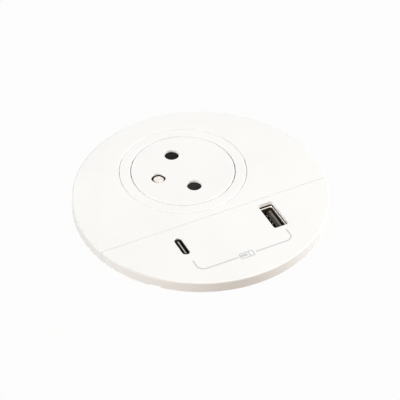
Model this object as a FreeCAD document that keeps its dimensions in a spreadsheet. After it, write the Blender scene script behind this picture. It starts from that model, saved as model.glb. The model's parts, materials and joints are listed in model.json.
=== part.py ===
import FreeCAD, Part
import math
import os

import Sketcher
from FreeCAD import Rotation, Vector

# Round desk socket for an 80 mm hole: a flush disc that sinks with the plug, an earth pin behind it,
# two charging ports, and two claws under the desk. Millimetres. The origin is the centre of the rim
# on the desk's surface, +Z is up, +Y points at the socket, and the seam of the cover runs along X.

doc = FreeCAD.newDocument("desk_socket")

SIZES = {
    # shared
    "over": 1.0,                     # how far a cut runs past a face
    "loose_fit": 0.2,
    "close_fit": 0.05,
    "screw_pilot": 1.25,
    "screw_clear": 1.5,
    "pilot_depth": 10.0,
    # round cover, split along X into a socket side and a port side
    "rim_radius": 47.0,
    "rim_height": 4.3,
    "rim_round": 0.5,
    "cover_plate": 1.5,
    "skirt_wall": 1.6,
    "skirt_lift": 0.1,
    "seam_place": -12.15,
    "seam_gap": 0.15,
    "pry_bearing": 223.5,
    "pry_width": 4.7,
    "pry_height": 0.75,
    "pry_depth": 0.45,
    "peg_radius": 1.1,
    "peg_circle": 42.3,
    "peg_level": 0.4,
    # collar that fits the hole, and the barrel below it
    "collar_radius": 39.5,
    "collar_height": 6.0,
    "barrel_radius": 39.0,
    "barrel_wall": 1.5,
    "barrel_depth": 46.0,
    "deck_plate": 2.0,
    "flange_radius": 45.2,
    "flange_height": 2.6,
    "flange_inner": 38.0,
    "post_radius": 2.6,
    "board_pilot": 1.0,
    "board_pilot_depth": 7.0,
    "rear_plate": 2.4,
    "rear_edge_play": 0.1,
    "rear_edge_slope": 0.5,
    "rear_boss_circle": 35.2,
    "rear_boss_radius": 2.8,
    "rear_boss_height": 9.0,
    "rear_pilot": 1.2,
    "rear_pilot_depth": 8.0,
    "rear_rib_radius": 32.0,
    "rear_rib_wall": 1.0,
    "rear_rib_height": 0.8,
    "rear_sink_radius": 2.9,
    "rear_sink_depth": 1.4,
    # sinking disc, its ring and its well
    "socket_place": 14.7,
    "bezel_radius": 23.5,
    "bezel_gap": 0.12,
    "bezel_round": 0.25,
    "disc_radius": 19.15,
    "disc_gap": 0.27,
    "disc_round": 0.3,
    "well_radius": 19.9,
    "well_outer": 21.3,
    "well_depth": 22.0,
    "disc_skin": 0.9,
    "disc_wall": 1.25,
    "disc_skirt": 0.6,
    "disc_travel": 14.5,
    "disc_screw_circle": 15.5,
    "disc_boss_radius": 1.8,
    "disc_pilot": 0.8,
    "disc_pilot_top": 2.6,
    "pin_offset": 9.5,
    "pin_hole_radius": 2.75,
    "earth_offset": 10.0,
    "earth_hole_radius": 2.7,
    "carrier_bottom": -2.6,
    "carrier_lip": -0.1,
    "carrier_recess_radius": 4.5,
    "carrier_recess": -0.7,
    "carrier_earth_play": 0.65,
    "carrier_screw_hole": 1.0,
    # shutter and springs
    "shutter_turn": 38.0,
    "shutter_radius": 13.4,
    "shutter_plate": 1.15,
    "shutter_drop": 0.1,
    "shutter_window_play": 0.3,
    "stud_radius": 2.0,
    "lift_coil": 18.25,
    "lift_wire": 0.5,
    "lift_turns": 4.25,
    "return_coil": 3.3,
    "return_wire": 0.25,
    "return_turns": 1.75,
    # contact block
    "tower_radius": 16.6,
    "tower_foot_radius": 17.0,
    "tower_top": -18.8,
    "strap_level": -31.0,
    "strap_plate": 0.8,
    "strap_hole": 1.3,
    "ear_radius": 3.0,
    "base_ear": 2.5,
    "cover_ear": 1.5,
    "mouth_radius": 2.8,
    "mouth_depth": 2.0,
    "pocket_radius": 3.3,
    "sleeve_inner": 2.45,
    "sleeve_outer": 3.1,
    "sleeve_drop": 0.6,
    "sleeve_slit": 0.8,
    "sleeve_whole": 2.0,
    "strap_middle": 4.5,
    "strap_length": 14.0,
    "strap_width": 5.0,
    "cup_floor": -35.0,
    "cup_outer": 19.3,
    "cup_inner": 17.3,
    "cup_plate": 1.5,
    "web_circle": 18.0,
    "web_side": 4.5,
    "clamp_pilot_depth": 5.0,
    "clamp_side": 9.0,
    "earth_clamp_side": 4.2,
    "wire_side": 3.8,
    "feed_side": -0.5,
    "earth_wire_side": -2.6,
    "wire_exit_play": 0.3,
    "post_side": 21.9,
    "post_back": 24.9,
    "post_front": -9.5,
    # earth pin and its strap
    "earth_pin_radius": 2.4,
    "earth_tip": 3.75,
    "earth_tip_length": 1.7,
    "earth_tip_radius": 2.2,
    "earth_tip_round": 1.0,
    "earth_shank": 2.2,
    "earth_bore": 2.25,
    "earth_foot_radius": 3.4,
    "earth_foot_height": 1.2,
    "earth_strap_middle": -3.2,
    "earth_strap_length": 20.0,
    "earth_strap_width": 5.6,
    # charging ports and their board
    "shell_wall": 0.3,
    "port_corner": 0.6,
    "port_a_side": 18.4,
    "port_a_back": -21.7,
    "port_a_width": 5.9,
    "port_a_length": 13.5,
    "port_a_hole_width": 7.5,
    "port_a_hole_length": 15.0,
    "shell_a_width": 5.12,
    "shell_a_length": 12.5,
    "shell_a_corner": 0.5,
    "shell_a_drop": 0.55,
    "leaf_inset": 0.2,
    "leaf_plate": 0.6,
    "leaf_width": 1.6,
    "leaf_level": -4.0,
    "leaf_height": 2.2,
    "tongue_a_inset": 1.58,
    "tongue_a_plate": 1.84,
    "tongue_a_width": 11.1,
    "tongue_a_drop": 1.0,
    "tongue_a_tip": 0.95,
    "tongue_a_step": 0.45,
    "tongue_a_foot": 2.5,
    "foot_play": 0.1,
    "strip_a_plate": 0.12,
    "strip_a_width": 1.0,
    "strip_a_low": 2.6,
    "strip_a_short": 4.6,
    "port_c_side": -18.3,
    "port_c_back": -21.8,
    "port_c_width": 2.8,
    "port_c_length": 9.2,
    "port_c_round": 0.5,
    "port_c_lip": 0.65,
    "port_c_hole_width": 6.0,
    "port_c_hole_length": 11.6,
    "shell_c_width": 2.56,
    "shell_c_length": 8.34,
    "shell_c_drop": 0.75,
    "shell_c_rise": 4.0,
    "tongue_c_plate": 0.7,
    "tongue_c_width": 6.7,
    "tongue_c_drop": 0.15,
    "tongue_c_foot": 1.5,
    "strip_c_side": 0.38,
    "strip_c_plate": 0.06,
    "strip_c_width": 0.25,
    "strip_c_low": 1.6,
    "strip_c_short": 3.0,
    "riser_width": 5.2,
    "riser_length": 10.4,
    "riser_corner": 0.6,
    "board_top": -11.0,
    "board_plate": 1.6,
    "board_radius": 35.8,
    "board_edge": -14.2,
    "board_hole": 1.3,
    # parts of the charger
    "core_back": -25.0,
    "core_length": 16.0,
    "core_width": 6.0,
    "core_height": 12.0,
    "core_gap": 0.2,
    "window_length": 10.8,
    "window_height": 7.4,
    "window_drop": 9.9,
    "winding_length": 10.6,
    "winding_width": 12.0,
    "winding_height": 7.2,
    "winding_drop": 9.8,
    "winding_round": 1.5,
    "can_radius": 3.5,
    "can_drop": 3.6,
    "output_radius": 3.15,
    "output_height": 7.4,
    "output_round": 0.5,
    "ceramic_radius": 3.6,
    "ceramic_plate": 2.6,
    "ceramic_drop": 3.8,
    "fuse_radius": 3.8,
    "fuse_height": 7.0,
    "fuse_round": 0.6,
    "choke_radius": 4.0,
    "choke_waist": 3.2,
    "choke_height": 9.0,
    "choke_flange": 1.4,
    "divider_back": -13.15,
    "divider_low": -31.0,
    "divider_length": 48.0,
    "divider_plate": 0.9,
    # terminal block and wires
    "block_back": 15.0,
    "block_length": 30.0,
    "block_width": 12.0,
    "block_height": 8.0,
    "block_corner": 0.8,
    "pole_spacing": 10.0,
    "low_row": -43.8,
    "high_row": -40.6,
    "terminal_seat": -39.2,
    "terminal_well": 1.9,
    "terminal_radius": 1.8,
    "terminal_height": 1.0,
    "wire_radius": 1.1,
    # claws under the desk
    "niche_floor": -43.0,
    "niche_plate": 2.0,
    "niche_wall": 1.2,
    "niche_inner": 4.9,
    "niche_front": 4.7,
    "niche_back": 14.0,
    "niche_lip": 0.5,
    "niche_inset_front": 1.8,
    "niche_inset_middle": 0.6,
    "niche_inset_back": 2.4,
    "claw_axis_side": 34.8,
    "claw_axis_back": -2.5,
    "claw_screw_radius": 2.0,
    "claw_screw_play": 0.15,
    "claw_screw_end": 1.6,
    "claw_screw_point": 0.5,
    "claw_head_pocket": 3.8,
    "claw_head_radius": 3.4,
    "claw_head_edge": 1.4,
    "claw_head_crown": 2.6,
    "claw_head_top": 2.15,
    "claw_recess_level": 0.9,
    "claw_recess_length": 4.2,
    "claw_recess_width": 0.9,
    "claw_hub_radius": 4.3,
    "claw_bore_radius": 3.2,
    "claw_reach": 12.5,
    "claw_tip": 3.6,
    "claw_arm": 5.0,
    "claw_top": -33.4,
    "claw_height": 7.5,
    "notch_pitch": 1.6,
    "notch_first": 1.4,
    "notch_width": 0.7,
    "notch_depth": 0.5,
    "nut_foot_side": 8.2,
    "nut_foot_plate": 1.5,
    "nut_low": 1.6,
    # cable gland
    "gland_back": -18.5,
    "gland_top": -42.5,
    "gland_thread_radius": 8.0,
    "gland_neck_radius": 7.4,
    "gland_flats": 22.0,
    "gland_flange": 4.0,
    "gland_nut_radius": 7.5,
    "gland_length": 8.6,
    "gland_mouth": 6.3,
    "gland_throat": 5.0,
    "locknut_height": 3.0,
    "seal_radius": 6.2,
    "seal_low": 9.4,
    "seal_high": 3.7,
    "cap_radius": 10.6,
    "cap_end_radius": 8.2,
    "cap_hole": 4.6,
    "cap_low": 13.2,
    "cap_shoulder": 9.6,
    "cap_inner": 9.5,
    "cap_high": 4.3,
    "cap_grip_place": 10.9,
    "cap_grip_size": 1.2,
    "cable_radius": 3.75,
}

sheet = doc.addObject("Spreadsheet::Sheet", "sizes")
for row, (alias, size) in enumerate(SIZES.items(), 1):
    sheet.set(f"A{row}", alias)
    sheet.set(f"B{row}", str(size))
    sheet.setAlias(f"B{row}", alias)
doc.recompute()

nodes = []


def short(expression):
    """The same expression with each sheet name written out in full."""
    words = str(expression)
    for alias in sorted(SIZES, key=len, reverse=True):
        words = words.replace("$" + alias, "sizes." + alias)
    return words


def value(expression):
    return float(sheet.evalExpression(short(expression)))


def bind(item, **bindings):
    """Ties properties to expressions. A double underscore stands for a dot."""
    for name, expression in bindings.items():
        item.setExpression(name.replace("__", "."), short(expression))
    return item


def keep(item, label):
    item.Label = label
    nodes.append(item)
    return item


def datum(body, role):
    return next(f for f in body.Origin.OriginFeatures if f.Role == role)


def new_body(label, x="0", y="0"):
    body = doc.addObject("PartDesign::Body", label)
    bind(body, Placement__Base__x=x, Placement__Base__y=y)
    return body


def sketch(body, name, role="XY_Plane", level="0"):
    item = body.newObject("Sketcher::SketchObject", name)
    item.AttachmentSupport = [(datum(body, role), "")]
    item.MapMode = "FlatFace"
    bind(item, AttachmentOffset__Base__z=level)
    return item


def pin_point(item, edge, end, x, y):
    """Holds one point of a sketch at two bound coordinates."""
    for kind, axis, expression in (("DistanceX", -2, x), ("DistanceY", -1, y)):
        size = value(expression)
        if abs(size) < 1e-9:
            item.addConstraint(Sketcher.Constraint("PointOnObject", edge, end, axis))
            continue
        index = item.addConstraint(Sketcher.Constraint(kind, -1, 1, edge, end, size))
        item.setExpression(f"Constraints[{index}]", short(expression))


def outline(item, points):
    """A closed run of straight lines through bound points."""
    corners = [Vector(value(x), value(y), 0) for x, y in points]
    count = len(corners)
    first = item.GeometryCount
    for i in range(count):
        item.addGeometry(Part.LineSegment(corners[i], corners[(i + 1) % count]))
    for i in range(count):
        item.addConstraint(Sketcher.Constraint("Coincident", first + i, 2, first + (i + 1) % count, 1))
    for i, (x, y) in enumerate(points):
        pin_point(item, first + i, 1, x, y)


def ring(item, x, y, radius):
    """A circle with a bound centre and radius."""
    centre = Vector(value(x), value(y), 0)
    edge = item.addGeometry(Part.Circle(centre, Vector(0, 0, 1), value(radius)))
    pin_point(item, edge, 3, x, y)
    index = item.addConstraint(Sketcher.Constraint("Radius", edge, value(radius)))
    item.setExpression(f"Constraints[{index}]", short(radius))


def turned(body, name, points):
    """A profile of radius and height points, turned about the body's own Z axis."""
    profile = sketch(body, name + "_profile", "XZ_Plane")
    outline(profile, points)
    feature = body.newObject("PartDesign::Revolution", name)
    feature.Profile = profile
    feature.ReferenceAxis = (datum(body, "Z_Axis"), [""])
    feature.Angle = 360
    return feature


def raised(body, name, drawing, height):
    feature = body.newObject("PartDesign::Pad", name)
    feature.Profile = drawing
    return bind(feature, Length=height)


def sunk(body, name, drawing, height):
    """Cuts upwards from the sketch's level."""
    feature = body.newObject("PartDesign::Pocket", name)
    feature.Profile = drawing
    feature.Reversed = True
    return bind(feature, Length=height)


def drum(body, name, x, y, bottom, radius, height, cut=False):
    kind = "PartDesign::SubtractiveCylinder" if cut else "PartDesign::AdditiveCylinder"
    feature = body.newObject(kind, name)
    return bind(feature, Radius=radius, Height=height, Placement__Base__x=x, Placement__Base__y=y,
                Placement__Base__z=bottom)


def block(body, name, x, y, bottom, length, width, height, cut=False):
    """A box centred on x and y that stands on its bottom level."""
    kind = "PartDesign::SubtractiveBox" if cut else "PartDesign::AdditiveBox"
    feature = body.newObject(kind, name)
    return bind(feature, Length=length, Width=width, Height=height,
                Placement__Base__x=f"{x} - ({length}) / 2", Placement__Base__y=f"{y} - ({width}) / 2",
                Placement__Base__z=bottom)


def repeated(body, name, features, count):
    """Copies features around the body's Z axis."""
    doc.recompute()
    pattern = body.newObject("PartDesign::PolarPattern", name)
    pattern.Originals = features
    pattern.Axis = (datum(body, "Z_Axis"), [""])
    pattern.Angle = 360
    pattern.Occurrences = count
    body.Tip = pattern
    return pattern


def rounded(body, name, radius, wanted):
    """Rounds the edges of the body's tip that the test picks."""
    doc.recompute()
    base = body.Tip
    names = [f"Edge{i}" for i, edge in enumerate(base.Shape.Edges, 1) if wanted(edge)]
    feature = body.newObject("PartDesign::Fillet", name)
    feature.Base = (base, names)
    return bind(feature, Radius=radius)


def rim_edge(radius, level):
    """Picks the whole circles of one radius at one level."""
    def wanted(edge):
        curve = edge.Curve
        return (isinstance(curve, Part.Circle) and abs(curve.Radius - value(radius)) < 1e-4
                and abs(curve.Center.z - value(level)) < 1e-4)
    return wanted


def mouth_edge(x, y, reach):
    """Picks the edges of an opening in the cover's face, within reach of its centre."""
    centre = value(x), value(y)

    def wanted(edge):
        box, level = edge.BoundBox, value("$rim_height")
        spans = ((box.XMin, box.XMax), (box.YMin, box.YMax))
        far = max(abs(end - middle) for span, middle in zip(spans, centre) for end in span)
        return far < value(reach) and abs(box.ZMin - level) < 1e-3 and abs(box.ZMax - level) < 1e-3
    return wanted


def upright_edge(edge):
    """Picks straight vertical edges."""
    if not isinstance(edge.Curve, Part.Line):
        return False
    return abs(edge.tangentAt(edge.FirstParameter).z) > 0.999


def polar(radius, bearing):
    """Bound coordinates of a point at a radius and a bearing in degrees."""
    return f"({radius}) * cos({bearing})", f"({radius}) * sin({bearing})"


def copies(label, body, places):
    """One node that holds a copy of the body at each bound place."""
    links = []
    for i, (x, y, z) in enumerate(places):
        link = doc.addObject("App::Link", f"{label}_{i + 1}")
        link.LinkedObject = body
        links.append(bind(link, Placement__Base__x=x, Placement__Base__y=y, Placement__Base__z=z))
    group = doc.addObject("Part::Compound", label)
    group.Links = links
    return keep(group, label)


def plain_box(name, x, y, bottom, length, width, height):
    item = doc.addObject("Part::Box", name)
    return bind(item, Length=length, Width=width, Height=height,
                Placement__Base__x=f"{x} - ({length}) / 2", Placement__Base__y=f"{y} - ({width}) / 2",
                Placement__Base__z=bottom)


SCREWS = {   # head radius, head height, shank radius, shank length
    "rear_screw": ("2.6", "1.3", "$rear_pilot", "8"),
    "socket_screw": ("2.6", "1.8", "$screw_pilot", "13.5"),
    "board_screw": ("2.2", "1.5", "$board_pilot", "7"),
    "disc_screw": ("1.8", "1.1", "$disc_pilot", "5"),
    "clamp_screw": ("2.5", "1.4", "$screw_pilot", "5.5"),
}
HEAD_CROWN, HEAD_EDGE, SCREW_POINT = 0.8, 0.6, 0.3   # shares of head radius, head height, shank radius
RECESS_LENGTH, RECESS_WIDTH, RECESS_DEPTH = 1.1, 0.3, 0.55


def pan_screw(name):
    """A screw whose head stands below its own origin and whose shank points up, with a cross recess."""
    head_radius, head_height, shank_radius, shank_length = SCREWS[name]
    body = doc.addObject("PartDesign::Body", name)
    turned(body, name + "_turned", [
        ("0", f"-{head_height}"),
        (f"{head_radius} * {HEAD_CROWN}", f"-{head_height}"),
        (head_radius, f"-{head_height} * {HEAD_EDGE}"),
        (head_radius, "0"),
        (shank_radius, "0"),
        (shank_radius, f"{shank_length} - {shank_radius}"),
        (f"{shank_radius} * {SCREW_POINT}", shank_length),
        ("0", shank_length),
    ])
    for turn, (length, width) in enumerate(((RECESS_LENGTH, RECESS_WIDTH), (RECESS_WIDTH, RECESS_LENGTH))):
        block(body, f"{name}_recess_{turn}", "0", "0", f"-{head_height}", f"{head_radius} * {length}",
              f"{head_radius} * {width}", f"{head_height} * {RECESS_DEPTH}", cut=True)
    return body


PEG_BEARINGS = {1: (20, 90, 160), -1: (212, 270, 328)}
DISC_SCREW_BEARINGS = (0, 120, 240)


def cover_half(label, side):
    """Half of the white cover. Side is 1 towards the socket and -1 towards the ports."""
    body = new_body(label)
    under = "$rim_height - $cover_plate"
    turned(body, label + "_shell", [
        ("0", under),
        ("$rim_radius - $skirt_wall", under),
        ("$rim_radius - $skirt_wall", "$skirt_lift"),
        ("$rim_radius", "$skirt_lift"),
        ("$rim_radius", "$rim_height"),
        ("0", "$rim_height"),
    ])
    rounded(body, label + "_rim", "$rim_round", rim_edge("$rim_radius", "$rim_height"))
    middle = f"$seam_place + ({-side}) * ($rim_radius - $seam_gap / 2)"
    block(body, label + "_other_half", "0", middle, "-$over", "$rim_radius * 3", "$rim_radius * 2",
          "$rim_height + $over * 2", cut=True)
    for bearing in PEG_BEARINGS[side]:
        x, y = polar("$peg_circle", bearing)
        drum(body, f"{label}_peg_{bearing}", x, y, "$peg_level", "$peg_radius", f"{under} - $skirt_lift")
    return body


def cover_socket_side():
    body = cover_half("cover_socket_side", 1)
    drum(body, "bezel_opening", "0", "$socket_place", "0", "$bezel_radius + $bezel_gap",
         "$rim_height + $over", cut=True)
    rounded(body, "bezel_opening_round", "$bezel_round",
            rim_edge("$bezel_radius + $bezel_gap", "$rim_height"))
    return keep(body, "cover_socket_side")


def cover_port_side():
    body = cover_half("cover_port_side", -1)
    width, length = "$port_a_width / 2 - $port_corner", "$port_a_length / 2 - $port_corner"
    block(body, "port_a_opening", "$port_a_side", "$port_a_back", "0", "$port_a_width",
          "$port_a_length - $port_corner * 2", "$rim_height + $over", cut=True)
    block(body, "port_a_opening_ends", "$port_a_side", "$port_a_back", "0",
          "$port_a_width - $port_corner * 2", "$port_a_length", "$rim_height + $over", cut=True)
    for i, (across, along) in enumerate(((1, 1), (-1, 1), (-1, -1), (1, -1))):
        drum(body, f"port_a_corner_{i + 1}", f"$port_a_side + ({across}) * ({width})",
             f"$port_a_back + ({along}) * ({length})", "0", "$port_corner", "$rim_height + $over", cut=True)
    tube_width, tube_length = (f"(${size} + $shell_wall * 2 + $close_fit * 2)"
                               for size in ("shell_c_width", "shell_c_length"))
    for name, across, along, height in (
            ("port_c_mouth", "$port_c_width", "$port_c_length", "$rim_height + $over"),
            ("port_c_passage", tube_width, tube_length, "$rim_height - $port_c_lip")):
        straight = f"{along} - {across}"
        block(body, name, "$port_c_side", "$port_c_back", "0", across, straight, height, cut=True)
        for end in (1, -1):
            drum(body, f"{name}_end_{end + 1}", "$port_c_side",
                 f"$port_c_back + ({end}) * ({straight}) / 2", "0", f"{across} / 2", height, cut=True)
    rounded(body, "port_c_lead_in", "$port_c_round",
            mouth_edge("$port_c_side", "$port_c_back", "$port_c_length"))
    half_turn = "$pry_width / $rim_radius / 2 * 180 / pi"
    corners = []
    inside, outside = "$rim_radius - $pry_depth", "$rim_radius + $over"
    for radius, turn in ((inside, -1), (outside, -1), (outside, 1), (inside, 1)):
        corners.append(polar(radius, f"$pry_bearing + ({turn}) * {half_turn}"))
    slot = sketch(body, "pry_outline", level="0")
    outline(slot, corners)
    sunk(body, "pry_slot", slot, "$skirt_lift + $pry_height")
    return keep(body, "cover_port_side")


def housing():
    """The black barrel with its flange, deck, screw posts and claw niches."""
    body = new_body("housing")
    inner = "$barrel_radius - $barrel_wall"
    turned(body, "barrel", [
        ("$barrel_radius", "-$barrel_depth"),
        ("$barrel_radius", "-$collar_height"),
        ("$collar_radius", "-$collar_height"),
        ("$collar_radius", "0"),
        ("$flange_radius", "0"),
        ("$flange_radius", "$flange_height"),
        ("$flange_inner", "$flange_height"),
        ("$flange_inner", "0"),
        ("0", "0"),
        ("0", "-$deck_plate"),
        (inner, "-$deck_plate"),
        (inner, "-$barrel_depth"),
    ])
    drum(body, "bezel_recess", "0", "$socket_place", "0", "$bezel_radius + $loose_fit",
         "$flange_height + $over", cut=True)
    under_deck, through_deck = "-$deck_plate - $over", "$deck_plate + $over * 2"
    drum(body, "well_hole", "0", "$socket_place", under_deck, "$well_outer + $loose_fit", through_deck,
         cut=True)
    block(body, "port_a_hole", "$port_a_side", "$port_a_back", under_deck, "$port_a_hole_width",
          "$port_a_hole_length", through_deck, cut=True)
    block(body, "port_c_hole", "$port_c_side", "$port_c_back", under_deck, "$port_c_hole_width",
          "$port_c_hole_length", through_deck, cut=True)
    for bearing in PEG_BEARINGS[1] + PEG_BEARINGS[-1]:
        x, y = polar("$peg_circle", bearing)
        drum(body, f"peg_hole_{bearing}", x, y, "-$over", "$peg_radius + $close_fit",
             "$flange_height + $over * 2", cut=True)

    near, far = "$claw_axis_side - $niche_inner", "$barrel_radius + $over"
    low, high = "$claw_axis_back - $niche_front", "$claw_axis_back + $niche_back"
    floor = sketch(body, "niche_outline", level="$niche_floor - $niche_plate")
    outline(floor, [
        (f"{near} - $niche_wall", f"{low} - $niche_wall"),
        ("$barrel_radius - $niche_inset_front", f"{low} - $niche_wall"),
        ("$barrel_radius - $niche_inset_middle", "0"),
        ("$barrel_radius - $niche_inset_back", f"{high} + $niche_wall"),
        (f"{near} - $niche_wall", f"{high} + $niche_wall"),
    ])
    niche = raised(body, "niche_block", floor, "$niche_plate - $deck_plate - $niche_floor")
    window = sketch(body, "niche_window_outline", level="$niche_floor")
    outline(window, [(near, low), (far, low), (far, high), (near, high)])
    hollow = sunk(body, "niche_window", window, "-$collar_height - $niche_lip - $niche_floor")
    through = drum(body, "claw_screw_hole", "$claw_axis_side", "$claw_axis_back",
                   "$niche_floor - $niche_plate - $over", "$claw_screw_radius + $claw_screw_play",
                   "-$niche_floor + $niche_plate + $over * 2", cut=True)
    pocket = drum(body, "claw_head_pocket", "$claw_axis_side", "$claw_axis_back", "0", "$claw_head_pocket",
                  "$flange_height + $over", cut=True)
    repeated(body, "both_niches", [niche, hollow, through, pocket], 2)

    for name, x, y in POSTS:
        drum(body, f"{name}_post", x, y, "-$well_depth", "$post_radius", "$well_depth - $deck_plate / 2")
        drum(body, f"{name}_pilot", x, y, "-$well_depth - $over", "$screw_pilot", "$pilot_depth + $over",
             cut=True)
    for name, x, y in BOARD_POSTS:
        drum(body, f"{name}_stand", x, y, "$board_top", "$post_radius", "-$board_top - $deck_plate / 2")
        drum(body, f"{name}_stand_pilot", x, y, "$board_top - $over", "$board_pilot",
             "$board_pilot_depth + $over", cut=True)
    for bearing in REAR_BEARINGS:
        x, y = polar("$rear_boss_circle", bearing)
        drum(body, f"rear_boss_{bearing}", x, y, "-$barrel_depth", "$rear_boss_radius", "$rear_boss_height")
        drum(body, f"rear_pilot_{bearing}", x, y, "-$barrel_depth - $over", "$rear_pilot",
             "$rear_pilot_depth + $over", cut=True)
    return keep(body, "housing")


POSTS = (
    ("right", "$post_side", "$post_back"),
    ("left", "-$post_side", "$post_back"),
    ("front", "0", "$post_front"),
)
BOARD_POSTS = (
    ("right", "29", "-17.5"),
    ("left", "-29", "-17.5"),
    ("front", "0", "-33.5"),
)
REAR_BEARINGS = (90, 225, 315)
WEB_BEARINGS = {"right": 25, "left": 155, "front": 270}


def rear_cover():
    body = new_body("rear_cover")
    bottom, edge = "-$barrel_depth - $rear_plate", "$barrel_radius - $rear_edge_play"
    turned(body, "rear_disc", [
        ("0", bottom),
        (f"{edge} - $rear_edge_slope", bottom),
        (edge, f"{bottom} + $rear_edge_slope"),
        (edge, "-$barrel_depth"),
        ("0", "-$barrel_depth"),
    ])
    rib = sketch(body, "rear_rib_outline", level="-$barrel_depth")
    ring(rib, "0", "0", "$rear_rib_radius - $rear_rib_wall")
    ring(rib, "0", "0", "$rear_rib_radius")
    raised(body, "rear_rib", rib, "$rear_rib_height")
    for bearing in REAR_BEARINGS:
        x, y = polar("$rear_boss_circle", bearing)
        drum(body, f"rear_hole_{bearing}", x, y, f"{bottom} - $over", "$screw_clear",
             "$rear_plate + $over * 2", cut=True)
        drum(body, f"rear_sink_{bearing}", x, y, f"{bottom} - $over", "$rear_sink_radius",
             "$rear_sink_depth + $over", cut=True)
    drum(body, "gland_hole", "0", "$gland_back", f"{bottom} - $over",
         "$gland_thread_radius + $rear_edge_play", "$rear_plate + $rear_rib_height + $over * 2", cut=True)
    return keep(body, "rear_cover")


def socket_bezel():
    """White ring around the disc, with the black disc's well below it."""
    body = new_body("socket_bezel", y="$socket_place")
    turned(body, "bezel_ring", [
        ("$disc_radius + $disc_gap", "0"),
        ("$well_radius", "0"),
        ("$well_radius", "-$well_depth"),
        ("$well_outer", "-$well_depth"),
        ("$well_outer", "0"),
        ("$bezel_radius", "0"),
        ("$bezel_radius", "$rim_height"),
        ("$disc_radius + $disc_gap", "$rim_height"),
    ])
    rounded(body, "bezel_rounds", "$bezel_round", lambda edge: rim_edge("$bezel_radius", "$rim_height")(edge)
            or rim_edge("$disc_radius + $disc_gap", "$rim_height")(edge))
    return keep(body, "socket_bezel")


def disc_face():
    body = new_body("disc_face", y="$socket_place")
    skin, inside = "$rim_height - $disc_skin", "$disc_radius - $disc_wall"
    turned(body, "disc_shell", [
        ("0", skin),
        (inside, skin),
        (inside, "$disc_skirt"),
        ("$disc_radius", "$disc_skirt"),
        ("$disc_radius", "$rim_height"),
        ("0", "$rim_height"),
    ])
    rounded(body, "disc_round_edge", "$disc_round", rim_edge("$disc_radius", "$rim_height"))
    for end in (1, -1):
        drum(body, f"pin_hole_{end + 1}", "0", f"({end}) * $pin_offset", "0", "$pin_hole_radius",
             "$rim_height + $over", cut=True)
    drum(body, "earth_hole", "-$earth_offset", "0", "0", "$earth_hole_radius", "$rim_height + $over",
         cut=True)
    for bearing in DISC_SCREW_BEARINGS:
        x, y = polar("$disc_screw_circle", bearing)
        drum(body, f"disc_boss_{bearing}", x, y, "$disc_skirt", "$disc_boss_radius",
             f"{skin} - $disc_skirt + $close_fit")
        drum(body, f"disc_pilot_{bearing}", x, y, "0", "$disc_pilot", "$disc_pilot_top", cut=True)
    return keep(body, "disc_face")


def disc_carrier():
    body = new_body("disc_carrier", y="$socket_place")
    stud_top = "$rim_height - $disc_skin - $close_fit"
    turned(body, "carrier_turned", [
        ("0", "$carrier_bottom"),
        ("$well_radius - $loose_fit", "$carrier_bottom"),
        ("$well_radius - $loose_fit", "$carrier_lip"),
        ("$disc_radius - $close_fit", "$carrier_lip"),
        ("$disc_radius - $close_fit", "$disc_skirt"),
        ("$carrier_recess_radius", "$disc_skirt"),
        ("$carrier_recess_radius", "$carrier_recess"),
        ("$stud_radius", "$carrier_recess"),
        ("$stud_radius", stud_top),
        ("0", stud_top),
    ])
    under, through = "$carrier_bottom - $over", "$disc_skirt - $carrier_bottom + $over * 2"
    for end in (1, -1):
        drum(body, f"carrier_pin_hole_{end + 1}", "0", f"({end}) * $pin_offset", under,
             "$pin_hole_radius + $loose_fit", through, cut=True)
    drum(body, "carrier_earth_hole", "-$earth_offset", "0", under,
         "$earth_hole_radius + $carrier_earth_play", through, cut=True)
    for bearing in DISC_SCREW_BEARINGS:
        x, y = polar("$disc_screw_circle", bearing)
        drum(body, f"carrier_screw_hole_{bearing}", x, y, under, "$carrier_screw_hole", through, cut=True)
    return keep(body, "disc_carrier")


def shutter_level():
    """Underside of the shutter, which turns just below the disc's skin."""
    return "$rim_height - $disc_skin - $shutter_drop - $shutter_plate"


def shutter():
    """Turns on the carrier's stud. Its windows stand off the pin holes at rest."""
    body = new_body("shutter", y="$socket_place")
    plan = sketch(body, "shutter_plan", level=shutter_level())
    ring(plan, "0", "0", "$shutter_radius")
    ring(plan, "0", "0", "$stud_radius + $close_fit")
    for bearing in ("90 - $shutter_turn", "270 - $shutter_turn"):
        x, y = polar("$pin_offset", bearing)
        ring(plan, x, y, "$pin_hole_radius + $shutter_window_play")
    raised(body, "shutter_disc", plan, "$shutter_plate")
    slot = sketch(body, "earth_slot_plan", level=f"{shutter_level()} - $over")
    curved_slot(slot, "$earth_offset", "$earth_hole_radius + $close_fit", "180 - $shutter_turn")
    sunk(body, "earth_slot", slot, "$shutter_plate + $over * 2")
    return keep(body, "shutter")


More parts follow.
